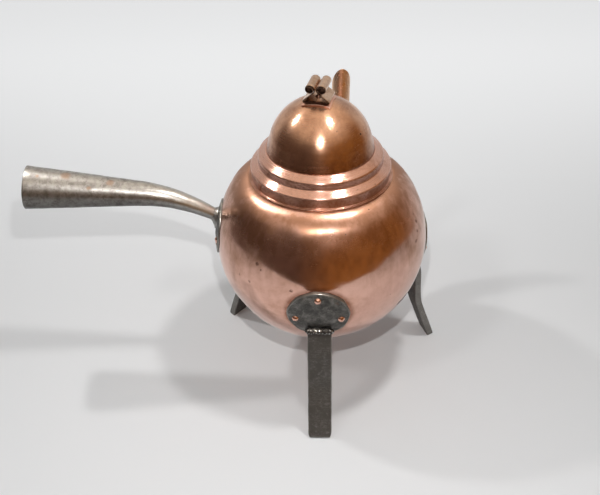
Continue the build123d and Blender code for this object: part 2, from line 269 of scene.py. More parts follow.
    def cut(self, point: Vector, away: Vector) -> Self:
        """Cut off what lies beyond a plane.

        Args:
            point: A point of the plane.
            away: The side that goes.

        Returns:
            The workpiece.
        """
        geometry = self.mesh.verts[:] + self.mesh.edges[:] + self.mesh.faces[:]
        bmesh.ops.bisect_plane(self.mesh, geom=geometry, dist=1e-4, plane_co=point, plane_no=away,
                               clear_outer=True)
        return self

    def shut(self) -> Self:
        """Close every open end with a face.

        Returns:
            The workpiece.
        """
        rims = [edge for edge in self.mesh.edges if edge.is_boundary]
        bmesh.ops.holes_fill(self.mesh, edges=rims, sides=0)
        return self.weld()

    def thicken(self, sheet: float) -> Self:
        """Give the skin a wall, inwards from its face.

        Args:
            sheet: Thickness of the wall.

        Returns:
            The workpiece.
        """
        bmesh.ops.solidify(self.mesh, geom=self.mesh.faces[:], thickness=sheet)
        self.mesh.normal_update()
        return self

    def soften(self, width: float, angle: float = 50.0, segments: int = 2) -> Self:
        """Round the sharp edges.

        Args:
            width: Width of the rounding.
            angle: Only edges that turn by more than this.
            segments: Rows of faces in the rounding.

        Returns:
            The workpiece.
        """
        sharp = [edge for edge in self.mesh.edges
                 if len(edge.link_faces) == 2 and edge.calc_face_angle() > math.radians(angle)]
        self.bevel(sharp, width=width, segments=segments, affect="EDGES")
        self.mesh.normal_update()
        return self

    def swell(self, height: float) -> Self:
        """Move the skin outwards.

        Args:
            height: How far.

        Returns:
            The workpiece.
        """
        self.mesh.normal_update()
        for vert in self.mesh.verts:
            vert.co += vert.normal * height
        return self

    def place(self, matrix: Matrix) -> Self:
        """Move the mesh by a matrix.

        Args:
            matrix: The move.

        Returns:
            The workpiece.
        """
        bmesh.ops.transform(self.mesh, matrix=matrix, verts=self.mesh.verts)
        self.mesh.normal_update()
        return self

    def take(self, other: "Workpiece") -> Self:
        """Put another mesh from the bench onto this one.

        Args:
            other: The mesh to add, which is used up.

        Returns:
            The workpiece.
        """
        data = bpy.data.meshes.new("taken")
        other.mesh.to_mesh(data)
        other.mesh.free()
        self.mesh.from_mesh(data)
        bpy.data.meshes.remove(data)
        return self

    def ripple(self, size: float, depth: float, seed: float,
               share: Callable[[Vector], float] = lambda point: 1.0) -> Self:
        """Beat slow hollows and swellings into the skin.

        Args:
            size: How far apart they lie.
            depth: How deep they go.
            seed: Which pattern.
            share: How much of the depth a point takes.

        Returns:
            The workpiece.
        """
        self.mesh.normal_update()
        for vert in self.mesh.verts:
            swell = noise.noise(vert.co / size + Vector((seed, seed * 1.7, -seed)))
            vert.co += vert.normal * (swell * depth * share(vert.co))
        return self

    def paint(self, name: str, rule: Callable[[Vector, Vector], float]) -> Self:
        """Store a value between 0 and 1 at every vertex.

        Args:
            name: Name of the attribute.
            rule: Gives the value from a vertex's place and normal.

        Returns:
            The workpiece.
        """
        self.mesh.normal_update()
        layer = self.mesh.verts.layers.float.new(name)
        for vert in self.mesh.verts:
            vert[layer] = min(1.0, max(0.0, rule(vert.co, vert.normal)))
        return self

    def lift(self, name: str, material: bpy.types.Material) -> bpy.types.Object:
        """Take the mesh off the bench as an object.

        Args:
            name: Name of the object.
            material: What it is made of.

        Returns:
            The object.
        """
        data = bpy.data.meshes.new(name)
        self.mesh.to_mesh(data)
        self.mesh.free()
        data.materials.append(material)
        piece = bpy.data.objects.new(name, data)
        bpy.context.collection.objects.link(piece)
        return piece

    def finish(self, name: str, body: Body, node: str, dress: "Finish", sharp: float = 35.0) -> None:
        """Take the mesh off the bench as a piece that stands for a node.

        Args:
            name: Name of the piece.
            body: The body that carries it.
            node: The node that it stands for.
            dress: Its finish.
            sharp: Edges that turn by more than this many degrees stay crisp.
        """
        bmesh.ops.scale(self.mesh, vec=(MM, MM, MM), verts=self.mesh.verts)
        piece = self.lift(name, dress.material())
        piece.data.shade_smooth()
        piece.data.set_sharp_from_angle(angle=math.radians(sharp))
        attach(piece, body.value)
        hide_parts(node)
        log.info("%s: %d faces", name, len(piece.data.polygons))


class Route:
    """A line in an upright plane through the kettle's axis, of straight and evenly bent stretches."""

    def __init__(self, azimuth: float, start: Vector, heading: float) -> None:
        """Start at a point of the plane, in a direction given in degrees.

        Args:
            azimuth: Direction of the plane in degrees.
            start: First point, as reach and height.
            heading: First direction in degrees.
        """
        self.outward = outwards(azimuth)
        self.stretches: list[tuple[Vector, float, float, float]] = []
        self.tip = start
        self.heading = heading
        self.length = 0.0

    def go(self, run: float, turn: float = 0.0) -> Self:
        """Go on for a run, turning evenly by some degrees.

        Args:
            run: Length to go.
            turn: Change of direction in degrees.

        Returns:
            The route.
        """
        self.stretches.append((self.tip, self.heading, run, turn))
        self.length += run
        self.tip, self.heading = self.at(self.length)
        return self

    def at(self, run: float) -> tuple[Vector, float]:
        """Point and heading of the plane at a run from the start.

        Args:
            run: Length from the start.

        Returns:
            The point and the heading there.
        """
        for index, (start, heading, length, turn) in enumerate(self.stretches):
            if run <= length or index == len(self.stretches) - 1:
                break
            run -= length
        if abs(turn) < 1e-6:
            return start + polar(run, heading), heading
        bend = length / math.radians(turn)
        angle = turn * run / length
        return start + polar(bend, heading + 90) + polar(bend, heading - 90 + angle), heading + angle

    def steps(self, count: int) -> list[float]:
        """Even runs from the start of the route to its end."""
        return [self.length * index / count for index in range(count + 1)]

    def world(self, point: Vector) -> Vector:
        """Point of the kettle from a point of the plane."""
        return self.outward * point.x + UP * point.z

    def place(self, run: float, width: float = 1.0, depth: float = 1.0) -> Matrix:
        """Frame across the route, scaled along its two sides.

        Args:
            run: Length from the start.
            width: Scale of the first side.
            depth: Scale of the second side.

        Returns:
            The frame.
        """
        point, heading = self.at(run)
        tangent = self.world(polar(1.0, heading))
        side = UP.cross(self.outward)
        return axes(side * width, tangent.cross(side) * depth, tangent, self.world(point))

    @staticmethod
    def through(azimuth: float, points: Sequence[Vector], bend: float) -> "Route":
        """Route along straight runs with bends of one radius at the inner points.

        Args:
            azimuth: Direction of the plane in degrees.
            points: Corners, as reach and height.
            bend: Radius of the bends.

        Returns:
            The route.
        """
        runs = [after - before for before, after in zip(points, points[1:])]
        headings = [math.degrees(math.atan2(run.z, run.x)) for run in runs]
        route = Route(azimuth, points[0], headings[0])
        spent = 0.0
        for run, heading, following in zip(runs, headings, headings[1:]):
            turn = following - heading
            tangent = bend * math.tan(math.radians(abs(turn)) / 2)
            route.go(run.length - spent - tangent).go(bend * math.radians(abs(turn)), turn)
            spent = tangent
        return route.go(runs[-1].length - spent)


class Nodes:
    """Shorthand for laying out a node tree."""

    def __init__(self, tree: bpy.types.NodeTree) -> None:
        """Work on a tree."""
        self.tree = tree

    def feed(self, node: bpy.types.Node, inputs: Inputs) -> bpy.types.Node:
        """Set a node's inputs to values, or link them to sockets.

        Args:
            node: The node.
            inputs: Values or sockets by name or number.

        Returns:
            The node.
        """
        for name, value in inputs.items():
            if isinstance(value, Socket):
                self.tree.links.new(value, node.inputs[name])
            else:
                node.inputs[name].default_value = value
        return node

    def add(self, kind: str, inputs: Inputs | None = None, **settings: Any) -> bpy.types.Node:
        """Add a node.

        Args:
            kind: Node type, without its prefix.
            inputs: Values or sockets for its inputs.
            settings: Properties of the node.

        Returns:
            The node.
        """
        node = self.tree.nodes.new("ShaderNode" + kind)
        for name, value in settings.items():
            setattr(node, name, value)
        return self.feed(node, inputs or {})

    def group(self, name: str, inputs: Inputs) -> Socket:
        """Mask of a shared effect."""
        return self.add("Group", inputs, node_tree=bpy.data.node_groups[name]).outputs[0]

    def math(self, operation: str, first: Any, second: Any = 0.0, capped: bool = False) -> Socket:
        """Result of a sum, kept between 0 and 1 if it is capped."""
        return self.add("Math", {0: first, 1: second}, operation=operation, use_clamp=capped).outputs[0]

    def plus(self, first: Any, second: Any, capped: bool = False) -> Socket:
        """Two values added."""
        return self.math("ADD", first, second, capped)

    def minus(self, first: Any, second: Any) -> Socket:
        """A value less another."""
        return self.math("SUBTRACT", first, second)

    def times(self, first: Any, second: Any) -> Socket:
        """Two values multiplied."""
        return self.math("MULTIPLY", first, second)

    def larger(self, first: Any, second: Any) -> Socket:
        """The larger of two values."""
        return self.math("MAXIMUM", first, second)

    def vector(self, operation: str, first: Any, second: Any, third: Any = (0.0, 0.0, 0.0)) -> bpy.types.Node:
        """Node that does a sum with vectors."""
        return self.add("VectorMath", {0: first, 1: second, 2: third}, operation=operation)

    def ramp(self, value: Any, low: Any, high: Any, start: Any = 0.0, end: Any = 1.0) -> Socket:
        """A value that goes smoothly from start to end as another goes from low to high."""
        inputs = {"Value": value, "From Min": low, "From Max": high, "To Min": start, "To Max": end}
        return self.add("MapRange", inputs, interpolation_type="SMOOTHSTEP").outputs["Result"]

    def blend(self, share: Any, first: Any, second: Any) -> Socket:
        """A mix of two colours."""
        return self.add("Mix", {0: share, 6: first, 7: second}, data_type="RGBA").outputs[2]

    def place(self) -> Socket:
        """Where a point lies, in metres."""
        return self.add("TexCoord").outputs["Object"]

    def spread(self, size: Any, stretch: Place = (1.0, 1.0, 1.0), turn: Place = (0.0, 0.0, 0.0)) -> Socket:
        """Where a point lies, turned, stretched and counted in steps of a size in millimetres.

        Args:
            size: Length of a step.
            stretch: Factor on each axis.
            turn: Angles of the turn.

        Returns:
            The place as a vector.
        """
        turned = self.add("Mapping", {"Vector": self.place(), "Rotation": turn, "Scale": stretch}).outputs[0]
        steps = self.math("DIVIDE", 1.0 / MM, size)
        return self.add("VectorMath", {0: turned, "Scale": steps}, operation="SCALE").outputs[0]

    def noise(self, vector: Socket, dimensions: str = "3D", **inputs: Any) -> Socket:
        """A cloudy field over a vector."""
        inputs = {"Vector": vector, "Scale": 1.0} | inputs
        return self.add("TexNoise", inputs, noise_dimensions=dimensions).outputs[0]

    def near(self, place: Socket, spots: Sequence[Spot], core: float, fade: float, peak: float) -> Any:
        """Mask that is high near spots.

        Args:
            place: Where a point lies, in metres.
            spots: Place and radius of each spot, in millimetres.
            core: Share of the radius over which the mask is full.
            fade: How far beyond the radius the mask fades out, in millimetres.
            peak: The mask's full value.

        Returns:
            The mask, or 0 without spots.
        """
        mask: Any = 0.0
        for centre, radius in spots:
            away = self.vector("DISTANCE", place, Vector(centre) * MM).outputs["Value"]
            mask = self.larger(mask, self.ramp(away, radius * core * MM, (radius + fade) * MM, peak, 0.0))
        return mask

    def blots(self, spots: Sequence[Spot]) -> Any:
        """Mask of ragged blots.

        Args:
            spots: Place and radius of each blot, in millimetres.

        Returns:
            The mask, or 0 without blots.
        """
        place = self.place()
        ragged = self.add("TexNoise", {"Vector": place, "Scale": 420.0}).outputs["Color"]
        shift = self.vector("SUBTRACT", ragged, (0.5, 0.5, 0.5)).outputs[0]
        shifted = self.vector("MULTIPLY_ADD", shift, (3 * MM, 3 * MM, 3 * MM), place).outputs[0]
        return self.near(shifted, spots, core=0.4, fade=0.0, peak=1.0)

    def halos(self, spots: Sequence[Spot]) -> Any:
        """Mask that fills spots and fades out beyond them."""
        return self.near(self.place(), spots, core=1.0, fade=5.0, peak=0.85)


class Effects:
    """Effects that several finishes share, each a node group that puts out a mask."""

    @staticmethod
    def new(name: str, inputs: dict[str, float]) -> tuple[Nodes, Any, bpy.types.Node]:
        """Start a group.

        Args:
            name: Name of the group.
            inputs: Names and usual values of its inputs.

        Returns:
            The layout, the group's input sockets and its output node.
        """
        tree = bpy.data.node_groups.new(name, "ShaderNodeTree")
        for key, value in inputs.items():
            socket = tree.interface.new_socket(key, in_out="INPUT", socket_type="NodeSocketFloat")
            socket.default_value = value
        tree.interface.new_socket("Mask", in_out="OUTPUT", socket_type="NodeSocketFloat")
        return Nodes(tree), tree.nodes.new("NodeGroupInput").outputs, tree.nodes.new("NodeGroupOutput")

    @classmethod
    def patches(cls) -> None:
        """Cloudy patches that cover a share of the surface."""
        nodes, given, result = cls.new("patches", {"Size": 40.0, "Cover": 0.5, "Edge": 0.12, "Seed": 0.0})
        field = nodes.noise(nodes.spread(given["Size"]), "4D", W=given["Seed"], Detail=6.0, Roughness=0.62,
                            Distortion=0.35)
        middle = nodes.ramp(given["Cover"], 0.0, 1.0, 0.72, 0.28)
        mask = nodes.ramp(field, nodes.minus(middle, given["Edge"]), nodes.plus(middle, given["Edge"]))
        nodes.feed(result, {"Mask": mask})

    @classmethod
    def pits(cls) -> None:
        """Scattered round pits or specks."""
        nodes, given, result = cls.new("pits", {"Step": 6.0, "Share": 0.3, "Radius": 0.2})
        cells = nodes.add("TexVoronoi", {"Vector": nodes.spread(given["Step"]), "Scale": 1.0}, feature="F1")
        pick = nodes.add("SeparateColor", {0: cells.outputs["Color"]})
        reach = nodes.times(nodes.plus(pick.outputs[1], 0.3), given["Radius"])
        dot = nodes.ramp(cells.outputs["Distance"], nodes.times(reach, 0.45), reach, 1.0, 0.0)
        chosen = nodes.math("LESS_THAN", pick.outputs[0], given["Share"])
        nodes.feed(result, {"Mask": nodes.times(dot, chosen)})

    @classmethod
    def scratches(cls) -> None:
        """Fine straight scratches in three directions."""
        nodes, given, result = cls.new("scratches", {"Length": 30.0, "Share": 0.5})
        mask: Any = 0.0
        for turn in ((0.4, 0.2, 0.6), (1.3, 0.5, -0.9), (-0.7, 1.1, 2.1)):
            along = nodes.spread(given["Length"], (1.0, 26.0, 26.0), turn)
            field = nodes.noise(along, Detail=1.0, Roughness=0.4)
            fine = nodes.ramp(nodes.math("ABSOLUTE", nodes.minus(field, 0.5)), 0.0, 0.016, 1.0, 0.0)
            mask = nodes.larger(mask, fine)
        gaps = nodes.noise(nodes.spread(given["Length"]), Scale=1.6, Detail=2.0)
        kept = nodes.ramp(gaps, nodes.minus(0.95, given["Share"]), nodes.minus(1.15, given["Share"]))
        nodes.feed(result, {"Mask": nodes.times(mask, kept)})

    @classmethod
    def brushed(cls) -> None:
        """Long stains that run up and down the kettle, as rubbing leaves them."""
        nodes, given, result = cls.new("brushed", {"Width": 6.0})
        steps = nodes.spread(given["Width"], (1.0, 1.0, 0.22), (0.3, 0.25, 0.0))
        field = nodes.noise(steps, Detail=5.0, Roughness=0.6)
        nodes.feed(result, {"Mask": nodes.ramp(field, 0.35, 0.68)})

    @classmethod
    def rings(cls) -> None:
        """Fine marks that run round the kettle's axis, as polishing leaves them."""
        nodes, given, result = cls.new("rings", {"Pitch": 0.8, "Drift": 0.02})
        steps = nodes.spread(given["Pitch"])
        x, y, z = nodes.add("SeparateXYZ", {0: steps}).outputs
        radius = nodes.math("SQRT", nodes.plus(nodes.times(x, x), nodes.times(y, y)))
        across = nodes.add("CombineXYZ", {0: radius, 1: z}).outputs[0]
        along = nodes.add("VectorMath", {0: steps, "Scale": given["Drift"]}, operation="SCALE").outputs[0]
        field = nodes.noise(nodes.vector("ADD", across, along).outputs[0], Detail=2.0, Roughness=0.7)
        nodes.feed(result, {"Mask": nodes.ramp(field, 0.3, 0.7)})

    @classmethod
    def all(cls) -> None:
        """Make every group."""
        for effect in (cls.patches, cls.pits, cls.scratches, cls.brushed, cls.rings):
            effect()


class Finish:
    """A finish that a piece can have; its material is made once."""

    slot: str
    name: str

    def material(self) -> bpy.types.Material:
        """The finish's material."""
        return bpy.data.materials.get(self.name) or self.make()

    def make(self) -> bpy.types.Material:
        """A new material, laid out as the finish says.

        Returns:
            The material.
        """
        material = bpy.data.materials.new(self.name)
        material.use_nodes = True
        nodes = Nodes(material.node_tree)
        inputs = self.layout(nodes)
        bump = nodes.add("Bump", {"Height": inputs.pop("Height"), "Distance": MM, "Strength": 1.0})
        nodes.feed(nodes.tree.nodes["Principled BSDF"], {**inputs, "Normal": bump.outputs[0]})
        return material

    def layout(self, nodes: Nodes) -> Inputs:
        """Inputs of the shader, and the height in millimetres of its fine relief."""
        raise NotImplementedError


class Marks(Enum):
    """Which tool marks a copper surface shows."""

    RINGS = "rings"
    SCRATCHES = "scratches"


@dataclass(frozen=True)
class Copper(Finish):
    """Polished copper sheet, browned in patches, scratched and pitted."""

    name: str
    slot: str
    bright: Colour = tint(0.76, 0.46, 0.37)
    brown: Colour = tint(0.42, 0.22, 0.14)
    # Colour of painted shade on walls and in hollows, and of soot.
    shade_and_soot_colour: Colour = tint(0.20, 0.07, 0.035)
    dark: Colour = tint(0.10, 0.055, 0.035)
    patch: float = 34.0
    cover: float = 0.4
    gloss: float = 0.09
    dull: float = 0.2
    upper_start: float = 0.14
    upper_full: float = 0.215
    upper_dull: float = 0.0
    upper_brown: float = 0.0
    streak: float = 0.0
    streak_turn: float = 0.25
    marks: Marks = Marks.SCRATCHES
    pitch: float = 0.9
    pit_share: float = 0.06
    pit_step: float = 7.0
    pit_depth: float = 0.03
    beaten: float = 14.0
    beaten_depth: float = 0.05
    mark_depth: float = 0.004
    brushing: float = 0.15
    spots: tuple[Spot, ...] = ()
    # Spots with a dark halo: soot, and painted contact shade round what sits on the sheet.
    soot_and_shade_spots: tuple[Spot, ...] = ()
    seed: float = 0.0

    def layout(self, nodes: Nodes) -> Inputs:
        """Inputs of the shader, and the height in millimetres of its fine relief.

        Args:
            nodes: The material's node tree.

        Returns:
            Inputs of the shader by name, and the relief.
        """
        patches = nodes.group("patches", {"Size": self.patch, "Cover": self.cover, "Seed": self.seed})
        mottle = nodes.group("patches", {"Size": self.patch / 6, "Cover": 0.45, "Edge": 0.2,
                                         "Seed": self.seed + 3.0})
        pits = nodes.group("pits", {"Step": self.pit_step, "Share": self.pit_share, "Radius": 0.16})
        pits = nodes.larger(pits, nodes.times(nodes.blots(self.spots), 0.55))
        ringed = self.marks is Marks.RINGS
        lie = {"Pitch": self.pitch} if ringed else {"Length": 26.0, "Share": 0.55}
        marks = nodes.group(self.marks.value, lie)
        height = nodes.add("SeparateXYZ", {0: nodes.place()}).outputs[2]
        high = nodes.ramp(height, self.upper_start, self.upper_full)
        brushed = nodes.group("brushed", {"Width": self.patch / 7})
        brushed = nodes.times(brushed, nodes.ramp(high, 0.0, 0.6, 0.2, 1.0))
        tone = nodes.plus(nodes.times(patches, 0.7), nodes.times(mottle, 0.25))
        tone = nodes.plus(tone, nodes.times(brushed, self.brushing))
        # Browner above the middle: tarnish, and painted shade for the dim room that the upper half mirrors.
        tone = nodes.plus(tone, nodes.times(high, self.upper_brown), capped=True)
        # Painted shade, with some real grime: the painted attribute and the halos darken walls, hollows and
        # the lower dome towards the shade colour.
        shade_and_grime = nodes.add("Attribute", attribute_name="shade_and_grime").outputs["Fac"]
        shade_and_grime = nodes.larger(shade_and_grime, nodes.halos(self.soot_and_shade_spots))
        shade_and_grime = nodes.times(shade_and_grime, nodes.ramp(mottle, 0.0, 1.0, 0.65, 1.0))
        metal = nodes.blend(shade_and_grime, nodes.blend(tone, self.bright, self.brown), self.shade_and_soot_colour)
        cloudy = nodes.times(high, nodes.ramp(patches, 0.0, 1.0, 0.7, 1.1))
        rough = nodes.ramp(tone, 0.0, 1.1, self.gloss, self.dull)
        for mask, share in ((cloudy, self.upper_dull), (marks, 0.06), (pits, 0.4)):
            rough = nodes.plus(rough, nodes.times(mask, share))
        relief = nodes.times(nodes.noise(nodes.spread(self.beaten), Detail=1.0), self.beaten_depth)
        if ringed:
            relief = nodes.plus(relief, nodes.times(marks, self.mark_depth))
        relief = nodes.minus(relief, nodes.times(pits, self.pit_depth))
        inputs = {"Base Color": nodes.blend(pits, metal, self.dark), "Roughness": rough, "Metallic": 1.0,
                  "Height": relief}
        if self.streak:
            tangent = nodes.add("Tangent", direction_type="RADIAL", axis="Z").outputs[0]
            inputs |= {"Anisotropic": nodes.times(high, self.streak), "Tangent": tangent,
                       "Anisotropic Rotation": self.streak_turn}
        return inputs


@dataclass(frozen=True)
class Iron(Finish):
    """Forged iron: dark skin, bare metal where it is rubbed, and rust."""

    name: str
    slot: str
    skin: Colour = tint(0.060, 0.056, 0.050)
    bare: Colour = tint(0.30, 0.28, 0.25)
    rust: Colour = tint(0.13, 0.065, 0.035)
    # Colour of heat-blackened metal, also used as painted shade on the handle's lower side.
    burnt: Colour = tint(0.030, 0.026, 0.024)
    bare_cover: float = 0.35
    rust_cover: float = 0.25
    patch: float = 9.0
    gloss: float = 0.34
    dull: float = 0.62
    grain: float = 1.6
    grain_depth: float = 0.05
    pit_share: float = 0.35
    metal: float = 0.85
    spots: tuple[Spot, ...] = ()
    seed: float = 0.0

    def layout(self, nodes: Nodes) -> Inputs:
        """Inputs of the shader, and the height in millimetres of its fine relief.

        Args:
            nodes: The material's node tree.

        Returns:
            Inputs of the shader by name, and the relief.
        """
        # Bare, rubbed metal; on the handle's upper side and on the bars' long corners it also paints a
        # highlight.
        wear_and_sheen = nodes.add("Attribute", attribute_name="wear_and_sheen").outputs["Fac"]
        # Heat-blackening near the welds, and painted shade on the handle's lower side.
        burn_and_shade = nodes.add("Attribute", attribute_name="burn_and_shade").outputs["Fac"]
        patches = nodes.group("patches", {"Size": self.patch, "Cover": self.bare_cover, "Edge": 0.18,
                                          "Seed": self.seed})
        rust = nodes.group("patches", {"Size": self.patch * 1.7, "Cover": self.rust_cover, "Edge": 0.08,
                                       "Seed": self.seed + 5.0})
        rust = nodes.larger(rust, nodes.blots(self.spots))
        rust = nodes.times(rust, nodes.minus(0.8, nodes.times(wear_and_sheen, 0.6)))
        scratches = nodes.group("scratches", {"Length": 18.0, "Share": 0.6})
        pits = nodes.group("pits", {"Step": 2.2, "Share": self.pit_share, "Radius": 0.34})
        rubbed = nodes.plus(nodes.times(patches, 0.5), nodes.times(scratches, 0.35))
        rubbed = nodes.times(rubbed, nodes.minus(1.0, nodes.times(pits, 0.7)))
        rubbed = nodes.plus(rubbed, nodes.times(wear_and_sheen, 0.75), capped=True)
        metal = nodes.blend(rust, nodes.blend(rubbed, self.skin, self.bare), self.rust)
        rough = nodes.plus(nodes.ramp(rubbed, 0.0, 1.0, self.dull, self.gloss), nodes.times(rust, 0.2))
        grain = nodes.times(nodes.noise(nodes.spread(self.grain), Detail=4.0), self.grain_depth)
        return {"Base Color": nodes.blend(nodes.times(burn_and_shade, 0.8), metal, self.burnt), "Roughness": rough,
                "Metallic": nodes.ramp(rust, 0.0, 1.0, self.metal, 0.2),
                "Height": nodes.minus(grain, nodes.times(pits, self.grain_depth * 0.7))}


GLOBE_SPOTS: tuple[Spot, ...] = (
    ((-57.4, -79.0, 173.4), 2.4), ((-54.3, -82.2, 169.1), 1.7), ((-65.3, -75.8, 152.2), 2.2),
    ((-74.8, -66.3, 153.2), 1.5), ((-27.2, -96.2, 156.0), 2.0), ((86.8, -33.9, 188.2), 2.6),
    ((87.7, -38.7, 180.4), 2.2), ((86.6, -45.0, 173.6), 2.6))
# Dark halos round the plates: soot, and painted contact shade.
GLOBE_SOOT_AND_SHADE: tuple[Spot, ...] = (
    ((-3.2, -97.2, 128.7), 29.3), ((95.0, 25.8, 134.6), 29.3), ((-75.4, 61.5, 128.7), 29.3),
    ((-99.4, 0.0, 162.8), 26.7))
RUST_SPOTS: tuple[Spot, ...] = (
    ((-237.0, -3.0, 221.0), 6.5), ((-196.0, -5.0, 214.0), 5.0), ((-124.0, -4.0, 194.0), 3.5),
    ((-215.0, -12.0, 213.0), 2.6), ((-262.0, -8.0, 224.0), 2.2))
GLOBE_COPPER = Copper("globe_finish", "globe_copper", cover=0.38, patch=46.0, gloss=0.035, dull=0.075,
                      upper_dull=0.33, upper_brown=0.4, brushing=0.45,
                      streak=0.55, streak_turn=0.0, spots=GLOBE_SPOTS, soot_and_shade_spots=GLOBE_SOOT_AND_SHADE)
COLLAR_COPPER = Copper("collar_finish", "globe_copper", cover=0.5, patch=16.0, marks=Marks.RINGS, gloss=0.25,
                       dull=0.36, streak=0.85, seed=2.0)
RING_COPPER = Copper("lid_ring_finish", "lid_copper", cover=0.3, patch=18.0, marks=Marks.RINGS,
                     pit_share=0.14, pit_step=4.0, gloss=0.23, dull=0.34, streak=0.85, seed=4.0)
DOME_COPPER = Copper("lid_dome_finish", "lid_copper", bright=tint(0.74, 0.44, 0.29), cover=0.45, patch=26.0,
                     marks=Marks.RINGS, gloss=0.17, dull=0.27, streak=0.5, seed=6.0)
SADDLE_COPPER = Copper("saddle_finish", "lid_copper", cover=0.4, patch=9.0, gloss=0.3, dull=0.4, seed=8.0)
KNOB_COPPER = Copper("knob_finish", "knob_copper", bright=tint(0.80, 0.57, 0.42),
                     brown=tint(0.44, 0.28, 0.18), shade_and_soot_colour=tint(0.085, 0.042, 0.028), cover=0.4, patch=7.0,
                     gloss=0.18, dull=0.36, seed=10.0)
SPOUT_COPPER = Copper("spout_finish", "spout_copper", bright=tint(0.92, 0.64, 0.46),
                      brown=tint(0.66, 0.43, 0.28), cover=0.3, patch=16.0, gloss=0.25, dull=0.38,
                      brushing=0.7, seed=12.0)
RIVET_COPPER = Copper("rivet_finish", "rivet_copper", cover=0.4, patch=4.0, gloss=0.14, dull=0.24, beaten=2.2,
                      beaten_depth=0.12, seed=14.0)
PLATE_IRON = Iron("plate_finish", "plate_iron", skin=tint(0.062, 0.060, 0.057), bare=tint(0.32, 0.305, 0.28),
                  bare_cover=0.4, rust_cover=0.12, patch=7.0, gloss=0.3, dull=0.55)
BAR_IRON = Iron("bar_finish", "bar_iron", skin=tint(0.096, 0.088, 0.080), bare=tint(0.34, 0.33, 0.31),
                rust_cover=0.12, bare_cover=0.2, patch=4.0, seed=3.0)
WELD_IRON = Iron("weld_finish", "weld_iron", bare=tint(0.62, 0.60, 0.57), bare_cover=0.3, gloss=0.16,
                 dull=0.5, rust_cover=0.1, grain_depth=0.09, seed=6.0)
HANDLE_IRON = Iron("handle_finish", "handle_iron", skin=tint(0.145, 0.132, 0.118),
                   bare=tint(0.53, 0.515, 0.49), rust=tint(0.30, 0.17, 0.09), bare_cover=0.55,
                   rust_cover=0.14, patch=5.0, gloss=0.32, dull=0.46, grain=1.1, grain_depth=0.07,
                   metal=1.0, spots=RUST_SPOTS, seed=9.0)


@dataclass
class Globe:
    """The raised copper vessel with its turned shoulder and open neck."""

    radius: float = 100.0
    centre_z: float = 152.0
    sheet: float = 1.4
    base_r: float = 42.0
    base_round: float = 4.0
    shoulder_turn: float = 15.0
    shoulder_drop: float = 6.2
    rim_r: float = 67.0
    neck_bore_r: float = 62.6
    base_turn: float = 2.5
    base_bend: float = 6.0

    @property
    def centre(self) -> Vector:
        """Centre of the globe."""
        return spot(0.0, self.centre_z)

    @property
    def rim_z(self) -> float:
        """Height of the flat rim round the neck."""
        return self.centre_z + math.sqrt(self.radius**2 - self.rim_r**2) - self.shoulder_drop

    def facing(self, azimuth: float, latitude: float) -> Matrix:
        """Frame at the globe's centre: x level, y up the globe and z out through a spot on it.

        Args:
            azimuth: Direction of the spot in degrees.
            latitude: Its angle above the middle.

        Returns:
            The frame.
        """
        turn = math.radians(azimuth)
        tilt = math.radians(latitude)
        outward = Vector((math.cos(tilt) * math.cos(turn), math.cos(tilt) * math.sin(turn), math.sin(tilt)))
        level = Vector((-math.sin(turn), math.cos(turn), 0.0))
        return axes(level, outward.cross(level), outward, self.centre)

    def build(self) -> None:
        """Turn the vessel."""
        latitude = math.degrees(math.acos(self.rim_r / self.radius)) - self.shoulder_turn
        leave = self.centre + polar(self.radius, latitude)
        normal = polar(1.0, latitude)
        chord = spot(self.rim_r, self.rim_z) - leave
        bend = -chord.dot(chord) / (2 * chord.dot(normal))
        bend_centre = leave - normal * bend
        rim_angle = math.degrees(math.asin((self.rim_z - bend_centre.z) / bend))
        base_angle = -math.degrees(math.acos(self.base_r / self.radius))
        base_z = self.centre_z + self.radius * math.sin(math.radians(base_angle))
        foot = self.centre + polar(self.radius, base_angle + self.base_turn)
        work = Workpiece().start(spot(0.0, base_z))
        work.line(spot(self.base_r - self.base_round, base_z), steps=6)
        work.rounded([spot(self.base_r, base_z), foot], radius=self.base_bend)
        work.arc(self.centre, latitude - base_angle - self.base_turn, steps=72)
        work.arc(bend_centre, rim_angle - latitude, steps=10)
        work.line(spot(self.neck_bore_r, self.rim_z), steps=3)
        work.turn(ROUND_STEPS).face_away(self.centre)
        work.ripple(size=26.0, depth=0.6, seed=3.0).ripple(size=13.0, depth=0.17, seed=8.0)
        work.thicken(self.sheet)
        work.finish("globe_skin", Body.KETTLE, "body_shell", GLOBE_COPPER)


